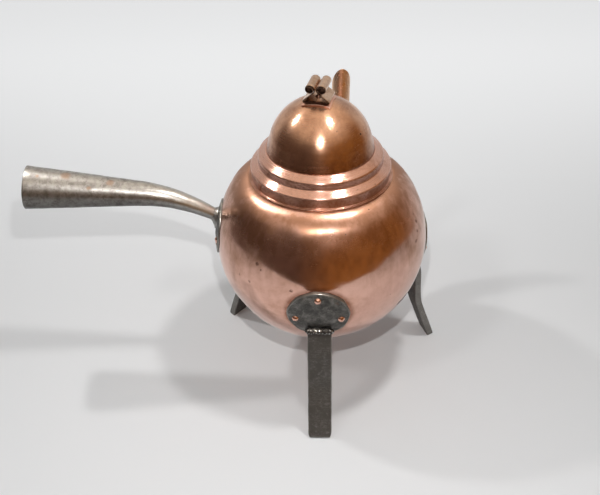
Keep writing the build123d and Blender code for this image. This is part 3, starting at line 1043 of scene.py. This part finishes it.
@dataclass
class Collar:
    """The copper strip round the neck, with its foot flange and lapped seam."""

    globe: Globe
    radius: float = 64.0
    sheet: float = 1.4
    height: float = 10.0
    foot_w: float = 2.4
    foot_t: float = 1.2
    lap_azimuth: float = 209.0
    lap_w: float = 6.0
    lap_t: float = 0.45
    solder_h: float = 2.4

    @property
    def top_z(self) -> float:
        """Height of the collar's upper edge."""
        return self.globe.rim_z + self.height

    def build(self) -> None:
        """Turn the strip and lay the lap on it."""
        bore = self.radius - self.sheet
        base = self.globe.rim_z
        foot = self.radius + self.foot_w
        work = Workpiece().start(spot(bore, base))
        work.rounded([spot(foot, base), spot(foot, base + self.foot_t), spot(self.radius, base + self.foot_t),
                      spot(self.radius, self.top_z), spot(bore, self.top_z), spot(bore, base)],
                     radius=0.5, steps=4, run_steps=4)
        work.turn(ROUND_STEPS)
        work.ripple(size=3.0, depth=0.22, seed=5.0,
                    share=lambda point: max(0.0, 1.0 - (point.z - base) / self.solder_h))
        work.ripple(size=14.0, depth=0.12, seed=2.0)
        lap = bmesh.ops.create_cube(work.mesh, size=1.0)["verts"]
        rise = self.height - self.foot_t
        out = outwards(self.lap_azimuth)
        depth = self.sheet / 2 + self.lap_t
        middle = out * (self.radius + self.lap_t - depth / 2) + UP * (base + self.foot_t + rise / 2)
        place = axes(out * depth, UP.cross(out) * self.lap_w, UP * rise, middle)
        bmesh.ops.transform(work.mesh, verts=lap, matrix=place)
        work.soften(width=0.15, angle=70.0)
        # Painted shade: the upright wall and the faces that look down are darkened.
        work.paint("shade_and_grime", lambda point, normal: 0.65 - max(0.0, normal.z))
        work.finish("collar_strip", Body.KETTLE, "neck_collar", COLLAR_COPPER)


@dataclass
class Lid:
    """The stepped ring and the dome."""

    collar: Collar
    sheet: float = 1.2
    lip_overhang: float = 0.8
    lip_h: float = 0.9
    lower_ledge_w: float = 7.2
    upper_ledge_w: float = 6.7
    step_h: float = 6.6
    ledge_slope: float = 33.0
    seat_w: float = 4.2
    lip_round: float = 1.4
    ledge_round: float = 2.0
    dome_setback: float = 0.7
    dome_draw: float = 2.0
    dome_centre_rise: float = 1.6
    shade_fade_h: float = 30.0

    @property
    def ledges_w(self) -> float:
        """Width of the two ledges together."""
        return self.lower_ledge_w + self.upper_ledge_w

    @property
    def seat_r(self) -> float:
        """Radius of the middle of the ring's sheet at the dome's seat."""
        return self.collar.radius + self.lip_overhang - self.sheet / 2 - self.ledges_w

    @property
    def seat_z(self) -> float:
        """Height of the dome's seat."""
        rise = self.ledges_w * math.tan(math.radians(self.ledge_slope))
        return self.collar.top_z + self.lip_h + rise + self.step_h + self.sheet / 2

    @property
    def dome_r(self) -> float:
        """Radius of the crown."""
        return self.seat_r - self.dome_setback - self.dome_draw

    @property
    def crown(self) -> Vector:
        """Centre of the crown's sphere."""
        return spot(0.0, self.seat_z + self.dome_centre_rise)

    def build(self) -> None:
        """Turn the ring and the dome."""
        self.ring()
        self.dome()

    def ring(self) -> None:
        """Turn the stepped ring."""
        slope = math.tan(math.radians(self.ledge_slope))
        half = self.sheet / 2
        lip = self.collar.radius + self.lip_overhang - half
        step = lip - self.lower_ledge_w
        low = self.collar.top_z + self.lip_h
        step_foot = low + self.lower_ledge_w * slope
        seat = self.seat_z - half
        work = Workpiece().start(spot(lip, self.collar.top_z))
        work.rounded([spot(lip, low), spot((lip + step) / 2, (low + step_foot) / 2)],
                     radius=self.lip_round, steps=6, run_steps=3)
        work.rounded([spot(step, step_foot), spot(step, step_foot + self.step_h), spot(self.seat_r, seat),
                      spot(self.seat_r - self.seat_w, seat)], radius=self.ledge_round, steps=7, run_steps=4)
        work.turn(ROUND_STEPS).face_away(self.collar.globe.centre).swell(half)
        work.ripple(size=11.0, depth=0.12, seed=7.0).ripple(size=4.0, depth=0.02, seed=1.0)
        work.thicken(self.sheet).soften(width=0.25, angle=60.0)
        # Painted shade, with some tarnish: the steep walls between the ledges are darkened.
        work.paint("shade_and_grime", lambda point, normal: 0.7 - abs(normal.z) * 1.2)
        work.finish("lid_ring", Body.LID, "lid_flange", RING_COPPER)

    def dome(self) -> None:
        """Turn the dome: a skirt that meets the crown without a break."""
        half = self.sheet / 2
        foot = spot(self.seat_r - self.dome_setback - half, -self.dome_centre_rise)
        reach = math.acos((self.dome_r - half) / foot.length)
        angle = math.degrees(math.atan2(foot.z, foot.x) + reach)
        top = self.crown + polar(self.dome_r, angle)
        down = polar(1.0, angle - 90)
        work = Workpiece().start(top + down * ((self.seat_z - top.z) / down.z))
        work.line(top, steps=8).arc(self.crown, 90 - angle, steps=40)
        work.turn(ROUND_STEPS).face_away(self.crown)
        work.ripple(size=16.0, depth=0.08, seed=4.0).ripple(size=6.0, depth=0.03, seed=9.0)
        work.thicken(self.sheet).soften(width=0.25, angle=60.0)
        # Painted shade: the dome is darker towards its foot.
        work.paint("shade_and_grime", lambda point, normal: 0.9 - (point.z - self.seat_z) / self.shade_fade_h)
        work.finish("lid_dome_skin", Body.LID, "lid_dome", DOME_COPPER)


@dataclass
class Rivet:
    """A hammered copper rivet, with its head on a seat and its tail on the inner face of the sheet."""

    seat: float
    tail: float
    head_r: float
    head_h: float
    shank_r: float = 2.0
    tail_r: float = 3.4
    tail_t: float = 1.2

    def drive(self, work: Workpiece, place: Matrix, seed: float) -> None:
        """Add the rivet to a mesh.

        Args:
            work: The mesh that takes it.
            place: Frame whose z runs along the rivet.
            seed: Which hammer marks it gets.
        """
        ball = (self.head_r**2 + self.head_h**2) / (2 * self.head_h)
        dome = 90 - math.degrees(math.asin((ball - self.head_h) / ball))
        end = self.tail - self.tail_t
        one = Workpiece().start(spot(0.0, end))
        one.line(spot(self.tail_r, end), steps=3).line(spot(self.tail_r, self.tail))
        one.line(spot(self.shank_r, self.tail)).line(spot(self.shank_r, self.seat))
        one.line(spot(self.head_r, self.seat), steps=2)
        one.arc(spot(0.0, self.seat + self.head_h - ball), dome, steps=9)
        one.turn(28).ripple(size=2.6, depth=0.30, seed=seed,
                            share=lambda point: 1.0 if point.z > self.seat + 0.1 else 0.0)
        work.take(one.place(place))


@dataclass
class Knob:
    """The saddle, the folded strip with its two rolls, and the rivet on top of the dome."""

    lid: Lid
    turn: float = -14.0
    lean: float = -1.6
    saddle_w: float = 27.0
    saddle_l: float = 24.4
    saddle_t: float = 1.2
    saddle_corner: float = 1.5
    strip_t: float = 1.0
    strip_w: float = 22.0
    base_w: float = 30.5
    fold_r: float = 1.1
    seat_gap: float = 0.05
    scroll_r: float = 4.75
    scroll_gap: float = 0.5
    turn_gap: float = 0.4
    scroll_rise: float = 11.2
    half_turns: int = 3
    head_r: float = 3.0
    head_h: float = 2.0

    @property
    def place(self) -> Matrix:
        """Frame at the crown's centre, turned and leaned as the knob is."""
        return (Matrix.Translation(self.lid.crown) @ Matrix.Rotation(math.radians(self.turn), 4, "Z")
                @ Matrix.Rotation(math.radians(self.lean), 4, "Y"))

    def build(self) -> None:
        """Bend the saddle and the strip and set the rivet."""
        self.saddle()
        self.scroll()
        dome_r = self.lid.dome_r
        seat = dome_r + self.saddle_t + self.seat_gap + self.strip_t
        work = Workpiece()
        Rivet(seat, dome_r - self.lid.sheet, self.head_r, self.head_h).drive(work, self.place, 2.0)
        work.finish("knob_rivet_head", Body.LID, "knob_rivet", RIVET_COPPER)

    def saddle(self) -> None:
        """Bend a square plate over the crown."""
        work = Workpiece()
        verts = work.sheet(self.saddle_w, self.saddle_l, columns=26, rows=24)
        corners = [vert for vert in verts if len(vert.link_faces) == 1]
        work.bevel(corners, width=self.saddle_corner * 0.6, segments=3, affect="VERTICES")
        outer = self.lid.dome_r + self.saddle_t
        for vert in work.mesh.verts:
            vert.co.z = math.sqrt(outer**2 - vert.co.x**2 - vert.co.y**2)
        work.weld().face_away(ORIGIN).ripple(size=5.0, depth=0.1, seed=3.0)
        work.thicken(self.saddle_t).soften(width=0.25, angle=60.0)
        work.place(self.place).finish("saddle_plate", Body.LID, "knob_saddle", SADDLE_COPPER)

    def scroll(self) -> None:
        """Fold the strip and roll its ends."""
        base_r = self.lid.dome_r + self.saddle_t + self.seat_gap + self.strip_t / 2
        roll = self.scroll_r - self.strip_t / 2
        centre = spot(-self.scroll_r - self.scroll_gap / 2, base_r + self.scroll_rise)
        half_angle = math.degrees(math.asin(self.base_w / 2 / base_r))
        base_end = polar(base_r, 90 + half_angle)
        to_roll = centre - base_end
        wall = math.degrees(math.atan2(to_roll.z, to_roll.x) - math.asin(roll / to_roll.length))
        wall_end = base_end + polar(math.sqrt(to_roll.length**2 - roll**2), wall)
        step = (self.strip_t + self.turn_gap) / 2
        work = Workpiece().start(spot(0.0, base_r))
        work.arc(ORIGIN, half_angle - 8.0, steps=12)
        work.rounded([base_end, wall_end], radius=self.fold_r, steps=6, run_steps=6)
        angle = wall - 90
        for index in range(self.half_turns):
            work.arc(centre, 180, steps=18 - 3 * index)
            angle += 180
            centre = centre + polar(step, angle)
        bmesh.ops.mirror(work.mesh, geom=work.mesh.verts[:] + work.mesh.edges[:], axis="X", merge_dist=0.01)
        count = 10
        rows = [Matrix.Translation((0.0, self.strip_w * (index / count - 0.5), 0.0))
                for index in range(count + 1)]
        work.sweep(work.mesh.edges[:], rows)
        work.weld().swell(self.strip_t / 2).thicken(self.strip_t).soften(width=0.22, angle=60.0)
        roll_z = base_r + self.scroll_rise

        def shaded_hollows(point: Vector, normal: Vector) -> float:
            """Painted shade: the inside of the tent, the inside of the rolls and the strip's edges are dark.

            Args:
                point: Place on the strip, in the knob's frame.
                normal: Direction of the strip's face.

            Returns:
                How dark it is.
            """
            off = Vector((abs(point.x) - self.scroll_r - self.scroll_gap / 2, point.z - roll_z))
            rolled = off.length < self.scroll_r + 0.1
            outer = off.length > self.scroll_r - 0.35 if rolled else normal.x * point.x > 0.0
            return 0.15 if outer and abs(normal.y) < 0.7 else 1.0

        work.paint("shade_and_grime", shaded_hollows)
        work.place(self.place).finish("scroll_strip", Body.LID, "knob_scroll", KNOB_COPPER)


@dataclass
class Spout:
    """The tapered copper tube at the back, cut to a beak, with its flange on the globe."""

    globe: Globe
    azimuth: float = 80.6
    tube_r: float = 9.1
    root_r: float = 17.0
    sheet: float = 1.2
    mouth_reach: float = 29.3
    mouth_rise: float = 97.8
    mouth_elevation: float = 18.0
    mouth_turn: float = 15.0
    lean: float = 12.0
    root_lean: float = 52.0
    bend_r: float = 80.0
    parallel_run: float = 25.0
    neck_run: float = 59.0
    root_run: float = 22.0
    taper_power: float = 1.5
    flange_w: float = 7.0
    flange_t: float = 1.2

    def build(self) -> None:
        """Draw the tube, cut its mouth and lay the flange."""
        globe = self.globe
        middle = spot(globe.radius + self.mouth_reach, globe.centre_z + self.mouth_rise)
        beak = self.tube_r / math.tan(math.radians(self.lean + self.mouth_elevation)) + self.tube_r
        route = Route(self.azimuth, middle + polar(beak, 90 - self.lean), -90 - self.lean)
        turn = self.lean - self.root_lean
        route.go(beak + self.neck_run).go(self.bend_r * math.radians(-turn), turn).go(self.root_run)
        even = beak + self.parallel_run

        def place(run: float) -> Matrix:
            """Frame across the tube, as wide as the tube is there.

            Args:
                run: Length from the start of the route.

            Returns:
                The frame.
            """
            widening = max(0.0, run - even) / (route.length - even)
            radius = self.tube_r + (self.root_r - self.tube_r) * widening**self.taper_power
            return route.place(run, radius, radius)

        work = Workpiece()
        root = work.sweep(work.hoop(72), [place(run) for run in route.steps(64)])
        inward = route.world(polar(1.0, route.heading))
        for vert in {vert for edge in root for vert in edge.verts}:
            offset = vert.co - globe.centre
            along = offset.dot(inward)
            inside = math.sqrt(max(0.0, along**2 - offset.length_squared + globe.radius**2))
            vert.co += inward * (-along - inside)
        mouth = route.world(polar(1.0, self.mouth_elevation))
        stem = route.world(polar(1.0, 90 - self.lean))
        mouth.rotate(Matrix.Rotation(math.radians(self.mouth_turn), 3, stem))
        work.cut(route.world(middle), mouth).weld().face_away(route.world(middle))
        work.ripple(size=13.0, depth=0.14, seed=6.0).thicken(self.sheet).soften(width=0.3, angle=60.0)
        rim = route.world(route.tip) - globe.centre
        tilt = math.degrees(math.asin(rim.z / rim.length))
        seat = Workpiece().start(polar(globe.radius + self.flange_t, 90))
        edge = math.degrees(math.asin((self.root_r + self.flange_w) / globe.radius))
        seat.arc(ORIGIN, -edge, steps=24).line(polar(globe.radius, 90 - edge), steps=2).turn(72)
        work.take(seat.place(globe.facing(self.azimuth, tilt)))
        work.finish("spout_tube", Body.KETTLE, "spout", SPOUT_COPPER)


@dataclass
class Plate:
    """A dished iron plate on the globe, held by three copper rivets."""

    globe: Globe
    name: str
    azimuth: float
    latitude: float
    radius: float
    sheet: float
    lone_angle: float
    inset: float
    spread: float
    head_r: float
    head_h: float
    burnt: Vector
    seed: float
    edge_r: float = 0.7
    sides: int = 8
    flat: float = 0.4
    rubbed_w: float = 1.8

    def trim(self, work: Workpiece) -> None:
        """Give the outline the slight flats of a plate cut out by hand.

        Args:
            work: The plate on the bench.
        """
        step = math.tau / self.sides
        for vert in work.mesh.verts:
            angle = math.atan2(vert.co.y, vert.co.x)
            part = (angle + 0.12 * math.sin(3 * angle + self.seed)) % step - step / 2
            dip = (1.0 - math.cos(step / 2) / math.cos(part)) * self.flat
            share = min(1.0, max(0.0, (vert.co.xy.length / self.radius - 0.8) / 0.2))
            vert.co.xy *= 1.0 - dip * share

    def build(self) -> None:
        """Forge the plate and set its rivets."""
        inner, outer = self.globe.radius, self.globe.radius + self.sheet
        place = self.globe.facing(self.azimuth, self.latitude)
        rim_out = spot(self.radius, math.sqrt(outer**2 - self.radius**2))
        rim_in = spot(self.radius, math.sqrt(inner**2 - self.radius**2))
        edge = math.degrees(math.acos(self.radius / outer))
        work = Workpiece().start(spot(0.0, outer))
        work.arc(ORIGIN, edge + 2.0 - 90, steps=30)
        work.rounded([rim_out, rim_in], radius=self.edge_r, steps=5, run_steps=3)
        work.arc(ORIGIN, 90 - math.degrees(math.acos(self.radius / inner)), steps=12)
        work.turn(96)
        self.trim(work)

        def forged(point: Vector) -> float:
            """Only the outer face and the rim are uneven."""
            return 1.0 if point.length > inner + 0.4 * self.sheet else 0.0

        work.ripple(size=9.0, depth=0.3, seed=self.seed, share=forged)
        work.ripple(size=3.0, depth=0.12, seed=self.seed + 4.0, share=forged)
        work.paint("wear_and_sheen", lambda point, normal: (point.xy.length - self.radius + self.rubbed_w) / 1.6)
        work.paint("burn_and_shade", lambda point, normal: 1.5 - (point.xy - self.burnt.xy).length / self.burnt.z)
        work.place(place)
        work.finish(f"{self.name}_disc", Body.KETTLE, f"{self.name}_plate", PLATE_IRON, sharp=60.0)
        group = Workpiece()
        circle = self.radius - self.inset
        depth = math.sqrt(inner**2 - circle**2)
        rivet = Rivet(outer - 0.05, inner - self.globe.sheet, self.head_r, self.head_h)
        for index, turn in enumerate((0.0, -self.spread, self.spread)):
            level = polar(circle, self.lone_angle + turn)
            outward = Vector((level.x, level.z, depth)).normalized()
            across = outward.orthogonal().normalized()
            local = axes(across, outward.cross(across), outward, ORIGIN)
            rivet.drive(group, place @ local, self.seed + index * 3.1)
        group.finish(f"{self.name}_rivet_heads", Body.KETTLE, f"{self.name}_rivets", RIVET_COPPER, sharp=50.0)


@dataclass
class Leg:
    """A flat iron bar welded to its riveted plate."""

    globe: Globe
    name: str
    azimuth: float
    plate_azimuth: float
    plate_latitude: float
    seed: float
    plate_r: float = 29.0
    plate_t: float = 2.8
    bar_w: float = 22.0
    bar_t: float = 7.0
    bar_corner: float = 1.3
    top_drop: float = 42.0
    bite: float = 0.8
    hip_out: float = 0.8
    hip_h: float = 86.0
    knee_out: float = 2.0
    knee_h: float = 50.0
    foot_out: float = 19.2
    bend_r: float = 45.0
    sole_wear: float = 0.75
    toe_run: float = 5.0
    toe_taper: float = 0.10
    burnt_h: float = 5.0
    bead_r: float = 3.6
    bead_step: float = 5.0
    bead_count: int = 5
    bead_lift: float = 0.9
    spatter: float = 1.5

    def build(self) -> None:
        """Forge the plate, draw the bar and lay the weld bead."""
        Plate(self.globe, self.name, self.plate_azimuth, self.plate_latitude, self.plate_r, self.plate_t,
              lone_angle=90.0, inset=8.5, spread=100.0, head_r=3.4, head_h=2.5,
              burnt=Vector((0.0, -29.0, 8.0)), seed=self.seed).build()
        globe_r = self.globe.radius
        slope = math.atan2(self.foot_out - self.knee_out, self.knee_h)
        top_r = math.sqrt((globe_r + self.plate_t)**2 - self.top_drop**2) - self.bite + self.bar_t / 2
        top = spot(top_r, self.globe.centre_z - self.top_drop)
        hip = spot(globe_r + self.hip_out, self.hip_h)
        knee = spot(globe_r + self.knee_out, self.knee_h)
        foot = spot(globe_r + self.foot_out, self.bar_t / 2 * math.sin(slope) - self.sole_wear)
        route = Route.through(self.azimuth, [top, hip, knee, foot], self.bend_r)
        self.bar(route, top)
        self.weld(route, top)

    def bar(self, route: Route, top: Vector) -> None:
        """Draw the bar along its route, from its top down to a worn foot.

        Args:
            route: Middle line of the bar.
            top: Its upper end, in the route's plane.
        """
        work = Workpiece()
        ring = work.bar_end(self.bar_w, self.bar_t, self.bar_corner, steps=3)
        places = []
        for run in route.steps(40):
            narrowing = max(0.0, (run - route.length + self.toe_run) / self.toe_run)
            places.append(route.place(run, 1.0 - self.toe_taper * narrowing**2))
        work.close(work.sweep(ring, places)).weld()
        work.ripple(size=11.0, depth=0.3, seed=self.seed + 1.0)
        work.ripple(size=3.5, depth=0.1, seed=self.seed + 6.0)
        work.cut(ORIGIN, -UP).shut()
        side = UP.cross(route.outward)

        def corner_wear_and_sheen(point: Vector, normal: Vector) -> float:
            """The long corners and the foot are rubbed bare; the light long corners also paint the thin
            highlights along the bar's edges.
            """
            across = abs(point.dot(side))
            return max((across - self.bar_w / 2 + 0.9) / 1.4, 1.0 - point.z / 2.0) * 0.9

        work.paint("wear_and_sheen", corner_wear_and_sheen)
        work.paint("burn_and_shade", lambda point, normal: (point.z - top.z + self.burnt_h) / self.burnt_h)
        work.finish(f"{self.name}_bar_forged", Body.KETTLE, f"{self.name}_bar", BAR_IRON, sharp=50.0)

    def weld(self, route: Route, top: Vector) -> None:
        """Lay a lumpy bead across the bar's top.

        Args:
            route: Middle line of the bar.
            top: Its upper end, in the route's plane.
        """
        side = UP.cross(route.outward)
        span = self.bead_step * (self.bead_count - 1) / 2 + self.bead_r - 0.3
        centre = route.world(top + spot(self.bead_lift, self.bead_lift))
        work = Workpiece()
        places = []
        count = 44
        for index in range(count + 1):
            across = -span + 2 * span * index / count
            lump = abs(math.cos(math.pi * across / self.bead_step))**0.7
            end = math.sqrt(max(0.02, 1.0 - (abs(across) / (span + 0.2))**6))
            radius = (self.bead_r - 0.7 + 0.6 * lump) * end
            places.append(axes(route.outward * radius, UP * radius, side, centre + side * across))
        work.sweep(work.hoop(24), places)
        work.shut().ripple(size=2.4, depth=0.4, seed=self.seed + 2.0)
        work.ripple(size=1.3, depth=0.25, seed=self.seed + 3.0)
        work.paint("wear_and_sheen", lambda point, normal: noise.noise(point / self.spatter) * 4.0 - 0.9)
        work.paint("burn_and_shade", lambda point, normal: 0.9 - noise.noise(point / self.spatter) * 4.0)
        work.finish(f"{self.name}_weld_bead", Body.KETTLE, f"{self.name}_weld", WELD_IRON, sharp=60.0)


@dataclass
class Handle:
    """The conical iron socket on its bent neck, welded to a riveted plate."""

    globe: Globe
    azimuth: float = 180.0
    plate_latitude: float = 6.2
    plate_r: float = 26.5
    plate_t: float = 1.5
    neck_latitude: float = 12.8
    neck_slope: float = 27.5
    neck_run: float = 21.0
    neck_r: float = 5.3
    neck_root: float = 4.0
    bend_r: float = 140.0
    socket_slope: float = 4.2
    socket_run: float = 104.5
    mouth_r: float = 20.5
    wall: float = 1.8
    depth: float = 100.0
    weld_r: float = 12.5
    weld_run: float = 9.0
    rubbed_x: float = -175.0
    rubbed_run: float = 70.0

    def build(self) -> None:
        """Forge the plate, roll the socket and lay the weld."""
        Plate(self.globe, "handle", self.azimuth, self.plate_latitude, self.plate_r, self.plate_t,
              lone_angle=-90.0, inset=6.0, spread=82.0, head_r=3.2, head_h=1.6,
              burnt=Vector((0.0, 11.7, 8.0)), seed=21.0).build()
        ball = self.globe.radius + self.plate_t
        start = self.globe.centre + polar(ball, self.neck_latitude) - polar(self.neck_root, self.neck_slope)
        turn = self.socket_slope - self.neck_slope
        route = Route(self.azimuth, start, self.neck_slope)
        route.go(self.neck_root + self.neck_run)
        route.go(self.bend_r * math.radians(abs(turn)), turn).go(self.socket_run)
        self.socket(route)
        self.weld(route)

    def socket(self, route: Route) -> None:
        """Roll the neck and the socket, with a rounded lip and a bore.

        Args:
            route: Middle line of neck and socket.
        """

        def outer(run: float) -> float:
            """Outer radius at a run along the route."""
            return self.neck_r + (self.mouth_r - self.neck_r) * run / route.length

        def rubbed(point: Vector, normal: Vector) -> float:
            """The neck is rubbed bare; the upper side is lighter, partly rubbed and partly a painted
            highlight.
            """
            return 0.3 * max(0.0, normal.z) + max(0.0, (point.x - self.rubbed_x) / self.rubbed_run)

        work = Workpiece()
        sizes = [(run, outer(run)) for run in route.steps(72)[:-1]]
        lip = self.wall / 2
        for angle in range(0, 181, 30):
            run = route.length - lip * 0.6 + lip * 0.6 * math.sin(math.radians(angle))
            sizes.append((run, outer(run) - lip + lip * math.cos(math.radians(angle))))
        bore_steps = 24
        for index in range(1, bore_steps + 1):
            run = route.length - self.depth * index / bore_steps
            sizes.append((run, outer(run) - self.wall))
        sizes.append((route.length - self.depth - 1.0, 0.3))
        work.sweep(work.hoop(80), [route.place(run, radius, radius) for run, radius in sizes])
        work.shut().ripple(size=16.0, depth=0.3, seed=12.0).ripple(size=5.0, depth=0.06, seed=4.0)
        work.paint("wear_and_sheen", rubbed)
        # Painted shade: the lower side that faces the front is darkened.
        work.paint("burn_and_shade", lambda point, normal: 0.9 * max(0.0, -normal.y * 0.6 - normal.z - 0.12))
        work.finish("handle_cone", Body.KETTLE, "handle_socket", HANDLE_IRON, sharp=60.0)

    def weld(self, route: Route) -> None:
        """Lay the weld that flares from the neck to the plate.

        Args:
            route: Middle line of neck and socket.
        """
        work = Workpiece()
        places = []
        stations = 12
        for index in range(stations + 1):
            share = index / stations
            radius = self.neck_r + 0.15 + (self.weld_r - self.neck_r) * (1.0 - share)**1.6
            places.append(route.place(self.weld_run * share + 1.0, radius, radius))
        work.sweep(work.hoop(48), places)
        work.shut().ripple(size=4.0, depth=0.5, seed=15.0).ripple(size=1.8, depth=0.12, seed=5.0)
        work.paint("wear_and_sheen", lambda point, normal: 0.5)
        work.paint("burn_and_shade", lambda point, normal: 0.2)
        work.finish("handle_weld_flare", Body.KETTLE, "handle_weld", WELD_IRON, sharp=60.0)


@dataclass(frozen=True)
class Lamp:
    """A small square lamp that looks at the kettle's middle; the metal mirrors it unless it is hidden."""

    name: str
    location: Place
    size: float
    power: float
    hidden: bool = False
    aim_height: float = 0.15

    def hang(self) -> None:
        """Hang the lamp."""
        data = bpy.data.lights.new(self.name, "AREA")
        data.shape = "RECTANGLE"
        data.size = data.size_y = self.size
        data.energy = self.power
        lamp = bpy.data.objects.new(self.name, data)
        lamp.location = self.location
        sight = Vector(self.location) - UP * self.aim_height
        lamp.rotation_euler = sight.to_track_quat("Z", "Y").to_euler()
        lamp.visible_glossy = not self.hidden
        bpy.context.collection.objects.link(lamp)


@dataclass
class Studio:
    """Floor, room, lamps and camera, in metres."""

    paper: Colour = tint(0.80, 0.80, 0.80)
    far_lift: Colour = tint(0.62, 0.627, 0.634)
    near_share: float = 0.74
    behind_span: tuple[float, float] = (0.0, 0.8)
    around_span: tuple[float, float] = (0.9, 2.4)
    left_wall: Colour = tint(0.11, 0.075, 0.058)
    right_wall: Colour = tint(0.30, 0.15, 0.042)
    back_wall: Colour = tint(0.62, 0.60, 0.58)
    ceiling: Colour = tint(0.95, 0.82, 0.68)
    right_span: tuple[float, float] = (-2.0, 1.5)
    back_span: tuple[float, float] = (0.8, 2.8)
    ceiling_span: tuple[float, float] = (1.5, 3.7)
    room_r: float = 4.0
    fill: Colour = tint(0.265, 0.265, 0.265)
    backdrop: Colour = tint(0.84, 0.84, 0.84)
    lamps: tuple[Lamp, ...] = (
        Lamp("left_lamp", (-0.375, 0.118, 0.655), 0.035, 1.0),
        Lamp("right_lamp", (0.193, -0.086, 0.864), 0.07, 1.8),
        Lamp("flash", (0.0, -0.67, 0.735), 0.015, 3.0),
        Lamp("front_left_ceiling", (-1.4, -1.5, 2.55), 0.30, 8.0, hidden=True))
    focal_px: float = 1051.67
    image_px: float = 600.0
    sensor_mm: float = 36.0
    eye: Place = (0.0, -0.83912, 0.72028)
    eye_right: Place = (0.999767, 0.012469, -0.017592)
    eye_up: Place = (0.007310, 0.571558, 0.820529)
    eye_back: Place = (0.020286, -0.820467, 0.571334)

    def build(self) -> None:
        """Set up the whole studio."""
        self.ground("sheet", (1.9, 3.6), (0.0, 1.38, 0.0))
        self.ground("floor", (16.0, 16.0), (0.0, 0.0, -0.0005)).visible_glossy = False
        self.room()
        self.world()
        for lamp in self.lamps:
            lamp.hang()
        self.camera()
        bpy.context.scene.view_settings.view_transform = "Standard"

    def ground(self, name: str, size: tuple[float, float], middle: Place) -> bpy.types.Object:
        """Lay a level piece of the set that is a little lighter far from the kettle.

        Args:
            name: Name of the piece.
            size: Its size along x and y.
            middle: Its middle.

        Returns:
            The object.
        """
        work = Workpiece()
        work.sheet(*size)
        return self.stage(name, work.place(Matrix.Translation(middle)), self.paper, self.ground_glow)

    def ground_glow(self, nodes: Nodes) -> Socket:
        """Lift of the floor behind the kettle, and far off, where it meets the backdrop.

        Args:
            nodes: The material's node tree.

        Returns:
            The light that the surface gives off by itself.
        """
        place = nodes.place()
        behind = nodes.ramp(nodes.add("SeparateXYZ", {0: place}).outputs[1], *self.behind_span)
        away = nodes.add("VectorMath", {0: place}, operation="LENGTH").outputs["Value"]
        around = nodes.ramp(away, *self.around_span)
        return nodes.blend(nodes.larger(nodes.times(behind, self.near_share), around), BLACK, self.far_lift)

    def room(self) -> None:
        """Put a dim room round the set, which only the metal sees."""
        work = Workpiece()
        bmesh.ops.create_uvsphere(work.mesh, u_segments=48, v_segments=24, radius=self.room_r)
        bmesh.ops.reverse_faces(work.mesh, faces=work.mesh.faces)
        room = self.stage("room", work, BLACK, self.room_glow)
        for ray in ("camera", "diffuse", "shadow", "transmission"):
            setattr(room, f"visible_{ray}", False)

    def room_glow(self, nodes: Nodes) -> Socket:
        """Colour of the room: warm on the right, pale behind and above.

        Args:
            nodes: The material's node tree.

        Returns:
            The light that the surface gives off by itself.
        """
        x, y, z = nodes.add("SeparateXYZ", {0: nodes.place()}).outputs
        wall = nodes.blend(nodes.ramp(x, *self.right_span), self.left_wall, self.right_wall)
        wall = nodes.blend(nodes.ramp(y, *self.back_span), wall, self.back_wall)
        return nodes.blend(nodes.ramp(z, *self.ceiling_span), wall, self.ceiling)

    def stage(self, name: str, work: Workpiece, colour: Colour,
              glow: Callable[[Nodes], Socket]) -> bpy.types.Object:
        """Put a piece of the set in place.

        Args:
            name: Name of the piece.
            work: Its mesh.
            colour: Its colour.
            glow: Lays out the light that it gives off.

        Returns:
            The object.
        """
        material = bpy.data.materials.new(name)
        material.use_nodes = True
        nodes = Nodes(material.node_tree)
        nodes.feed(nodes.tree.nodes["Principled BSDF"], {
            "Base Color": colour, "Roughness": 1.0, "Specular IOR Level": 0.0, "Emission Color": glow(nodes),
            "Emission Strength": 1.0})
        piece = work.lift(name, material)
        return piece

    def world(self) -> None:
        """Light the room evenly, with a pale background for the eye and for the metal."""
        world = bpy.data.worlds.new("studio")
        world.use_nodes = True
        nodes = Nodes(world.node_tree)
        path = nodes.add("LightPath").outputs
        seen = nodes.larger(path["Is Camera Ray"], path["Is Glossy Ray"])
        seen = nodes.larger(seen, path["Is Transmission Ray"])
        nodes.feed(nodes.tree.nodes["Background"], {"Color": nodes.blend(seen, self.fill, self.backdrop)})
        bpy.context.scene.world = world

    def camera(self) -> None:
        """Set up the camera at the photograph's viewing angle."""
        data = bpy.data.cameras.new("view")
        data.sensor_width = self.sensor_mm
        data.lens = self.focal_px * self.sensor_mm / self.image_px
        data.clip_start = 0.01
        view = bpy.data.objects.new("view", data)
        view.matrix_world = axes(*map(Vector, (self.eye_right, self.eye_up, self.eye_back, self.eye)))
        bpy.context.collection.objects.link(view)
        bpy.context.scene.camera = view


def main() -> None:
    """Build the kettle piece by piece, then the studio."""
    logging.basicConfig(level=logging.INFO, format="%(name)s: %(message)s")
    Effects.all()
    globe = Globe()
    collar = Collar(globe)
    lid = Lid(collar)
    for part in (globe, collar, lid, Knob(lid), Spout(globe), Handle(globe),
                 Leg(globe, "front_leg", azimuth=-91.3, plate_azimuth=-91.9, plate_latitude=-13.5, seed=31.0),
                 Leg(globe, "right_leg", azimuth=19.8, plate_azimuth=15.2, plate_latitude=-10.0, seed=37.0),
                 Leg(globe, "left_leg", azimuth=140.8, plate_azimuth=140.8, plate_latitude=-13.5, seed=43.0)):
        part.build()
    sleeve = bpy.data.objects["lid_sleeve"].data
    sleeve.materials.clear()
    sleeve.materials.append(RING_COPPER.material())
    Studio().build()


if __name__ == "__main__":
    main()
